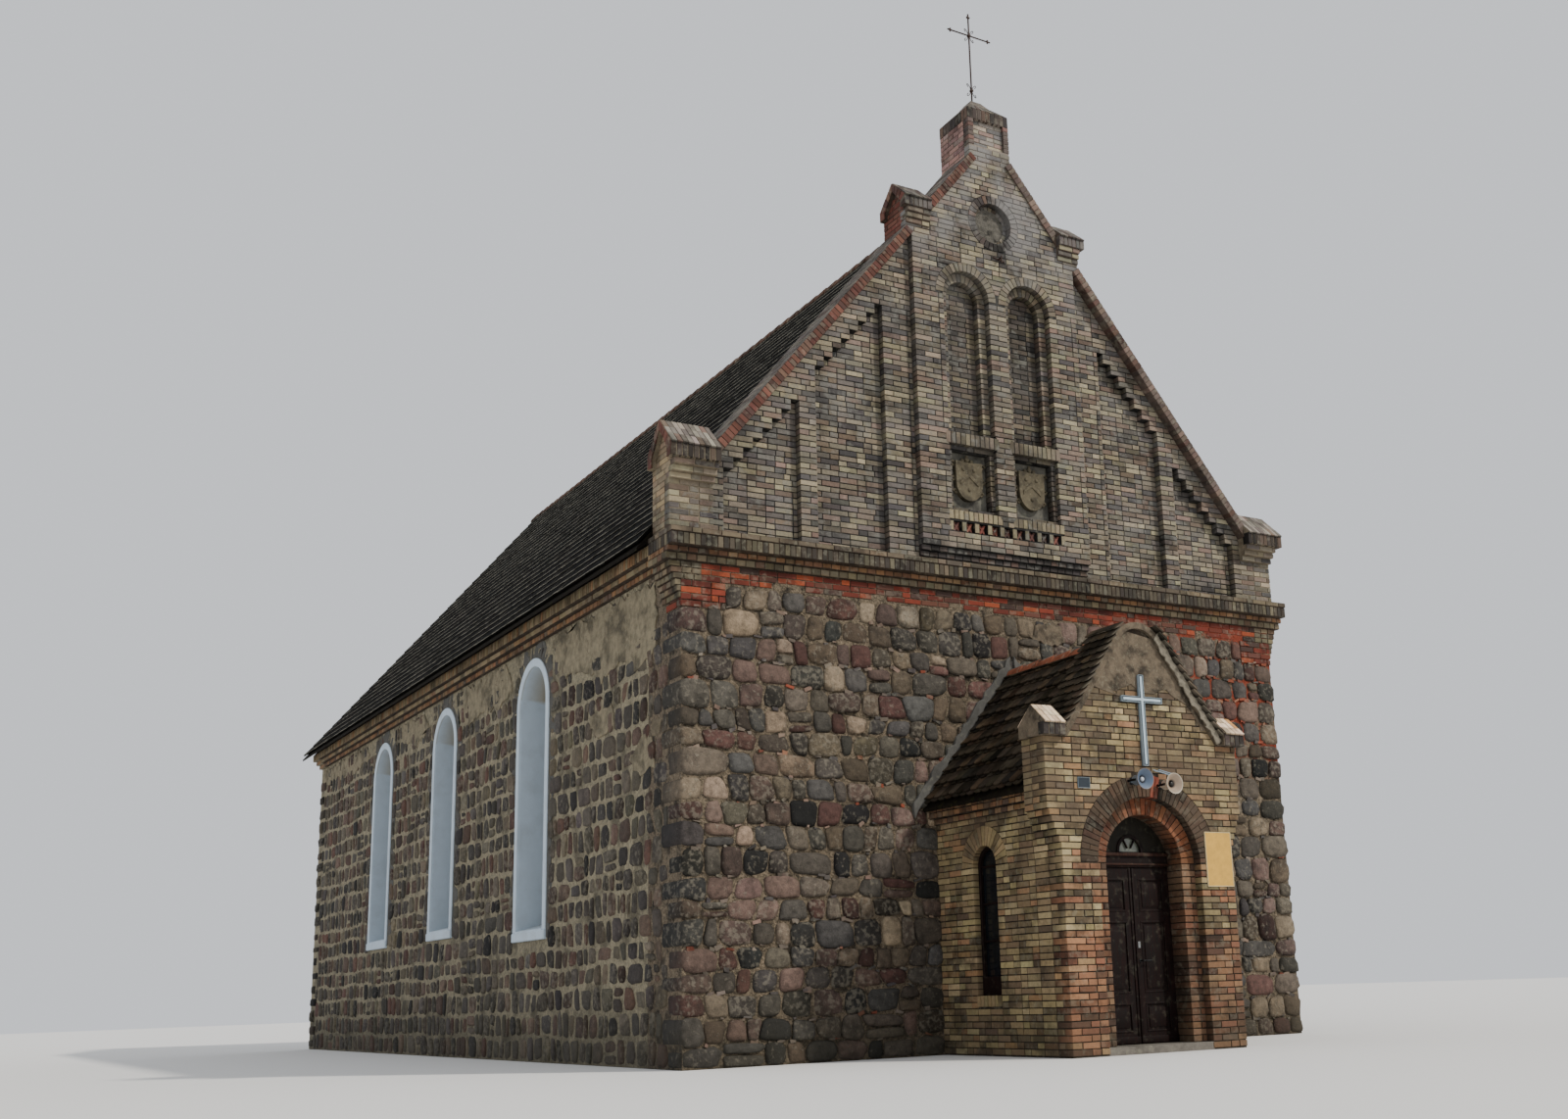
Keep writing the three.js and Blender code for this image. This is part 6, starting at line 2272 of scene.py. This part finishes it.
def layChips():
    rng = np.random.default_rng(131)
    beds = stoneBeds(fieldstone["top"], fieldstone["rows"], 11)
    pile = {}
    face = frontFace(0)
    edge = fieldstone["halfWidth"] - 0.1
    for turn in range(chips["red"] + chips["grey"]):
        isRed = turn < chips["red"]
        a = rng.uniform(-edge, edge)
        row = int(rng.integers(1, fieldstone["rows"]))
        if isRed and rng.random() < 0.7:
            a = rng.uniform(1.2, edge)
            row = int(rng.integers(fieldstone["rows"] - 5, fieldstone["rows"] + 1))
        b = beds[row] + bedWave(face, a, row, frontStone["wave"]) + rng.normal(0, 0.012)
        if abs(a) < behindPorch(b) + 0.15 or b > fieldstone["top"] - 0.02:
            continue
        wide, high = rng.uniform(*chips["wide"]) / 2, rng.uniform(*chips["high"]) / 2
        lean = rng.normal(0, 0.25)
        quad = []
        for u, v in squareOf(-wide, wide, -high, high):
            shake = rng.normal(0, 0.006, 2)
            x = a + u * math.cos(lean) - v * math.sin(lean) + shake[0]
            quad.append((x, b + u * math.sin(lean) + v * math.cos(lean) + shake[1]))
        addBrick(pile, face, quad, chipLook if isRed else rubbleLook, rng, 0.01, proud=chips["proud"])
    buildPile(pile, "front_wall_chips")


# Thin render left on the upper part of a side wall, worn through over the stones
def makeSideRender(word, side, seed):
    rng = np.random.default_rng(seed)
    face = sideFace(side * fieldstone["halfWidth"])
    areas = (
        [(0.75, 5.02), (1.35, 4.86), (1.9, 5.10), (2.6, 4.95), (3.3, 5.22), (4.1, 5.30), (4.4, 5.62),
         (4.5, 5.94), (0.75, 5.94)],
        [(2.1, 4.30), (2.7, 4.22), (3.1, 4.48), (2.8, 4.74), (2.3, 4.66)],
        [(0.8, 3.62), (1.3, 3.50), (1.6, 3.78), (1.2, 4.02), (0.9, 3.96)],
        [(6.3, 5.52), (7.0, 5.30), (7.8, 5.42), (8.7, 5.28), (9.0, 5.60), (8.6, 5.94), (6.6, 5.94)],
        [(10.9, 5.60), (11.7, 5.44), (12.6, 5.55), (13.0, 5.94), (11.2, 5.94)],
        [(15.2, 5.66), (16.6, 5.50), (18.2, 5.62), (19.3, 5.60), (19.3, 5.94), (15.4, 5.94)],
    )
    parts = []
    for outline in areas:
        patch = makePatch(face, roughen(outline, 0.10, 0.035, rng), -0.01, 0.014)
        parts.append(bevelPiece(patch, 0.008, 2, 50))
    dress(joined(parts), f"nave_{word}_wall_render", "sideRender")


def makePlasters():
    rng = np.random.default_rng(141)
    face = frontFace(0)
    smears = (
        [(0.35, 5.46), (0.62, 5.40), (0.98, 5.44), (1.05, 5.60), (0.80, 5.72), (0.45, 5.66)],
        [(1.75, 5.30), (2.05, 5.26), (2.20, 5.42), (1.95, 5.52), (1.78, 5.46)],
    )
    for number, outline in enumerate(smears):
        patch = makePatch(face, roughen(outline, 0.06, 0.018, rng), -0.01, 0.036)
        dress(bevelPiece(patch, 0.008, 2, 50), f"front_wall_plaster_{number + 1}", "peakRender")
    for word, side in sides:
        corners = [(side * 1.66, 2.94), (side * 1.66, 3.14), (side * 0.02, 5.19), (side * 0.02, 5.00)]
        strip = makePatch(face, roughen(corners, 0.10, 0.014, rng), -0.01, 0.058)
        dress(bevelPiece(strip, 0.010, 2, 50), f"porch_roof_fillet_{word}", "cement")
    rise = [4.26 + 0.06 * turn for turn in range(13)]
    left = [(-porchTopHalf(height) + 0.004, height) for height in rise]
    fall = [3.82 + 0.11 * turn for turn in reversed(range(11))]
    right = [(porchTopHalf(height) - 0.004, height) for height in fall]
    lower = [(0.93, 3.80), (0.86, 4.02), (0.66, 4.14), (0.42, 4.28), (0.16, 4.21), (-0.14, 4.31),
             (-0.42, 4.22)]
    peak = left + right + roughen(lower, 0.07, 0.012, rng)[:-14]
    patch = makePatch(frontFace(porch["front"]), peak, 0.001, 0.017)
    dress(bevelPiece(patch, 0.006, 2, 60), "porch_gable_render", "peakRender")
    upper = [(0.30, 4.99), (0.46, 4.77), (0.84, 4.24), (1.235, 3.69), (1.17, 3.64), (0.78, 4.16),
             (0.40, 4.69), (0.25, 4.90)]
    crust = makePatch(frontFace(-2.68), roughen(upper, 0.05, 0.013, rng), -0.004, 0.016)
    dress(bevelPiece(crust, 0.007, 2, 60), "porch_coping_crust", "palePlaster")


# Pale mortar where the roof meets the back of the gable
def makeRoofMortar():
    rng = np.random.default_rng(151)
    slope = naveTiles["slope"]
    length = math.hypot(1, slope)
    for word, side in sides:
        down = (side / length, 0, -slope / length)
        out = (side * slope / length, 0, 1 / length)
        face = faceAt((0, frontY, naveTiles["ridge"]), down, out, (0, 1, 0))
        worn = [(7.0 - 0.15 * turn, 0.605 + rng.normal(0, 0.012)) for turn in range(43)]
        outline = [(0.55, 0.52), (7.0, 0.52), *worn]
        strip = makePatch(face, outline, 0.0, 0.082)
        dress(bevelPiece(strip, 0.012, 2, 50), f"nave_roof_mortar_{word}", "roofMortar")


# A short rusty holder left in the wall under the roundel
def makeHolder():
    y = frontY - 0.12
    parts = [makeBar((0.05, y + 0.01, 11.02), (0.05, y - 0.10, 11.02), 0.012)]
    parts.append(makeBar((0.05, y - 0.095, 11.05), (0.05, y - 0.095, 10.93), 0.010))
    parts.append(makeBar((-0.05, y - 0.02, 11.04), (0.16, y - 0.02, 11.00), 0.010))
    dress(joined(parts), "gable_wall_holder", "rustyIron")


layChips()
makePlasters()
makeSideRender("left", -1, 161)
makeSideRender("right", 1, 171)
makeRoofMortar()
makeHolder()
print("stage: patches and chips are laid")
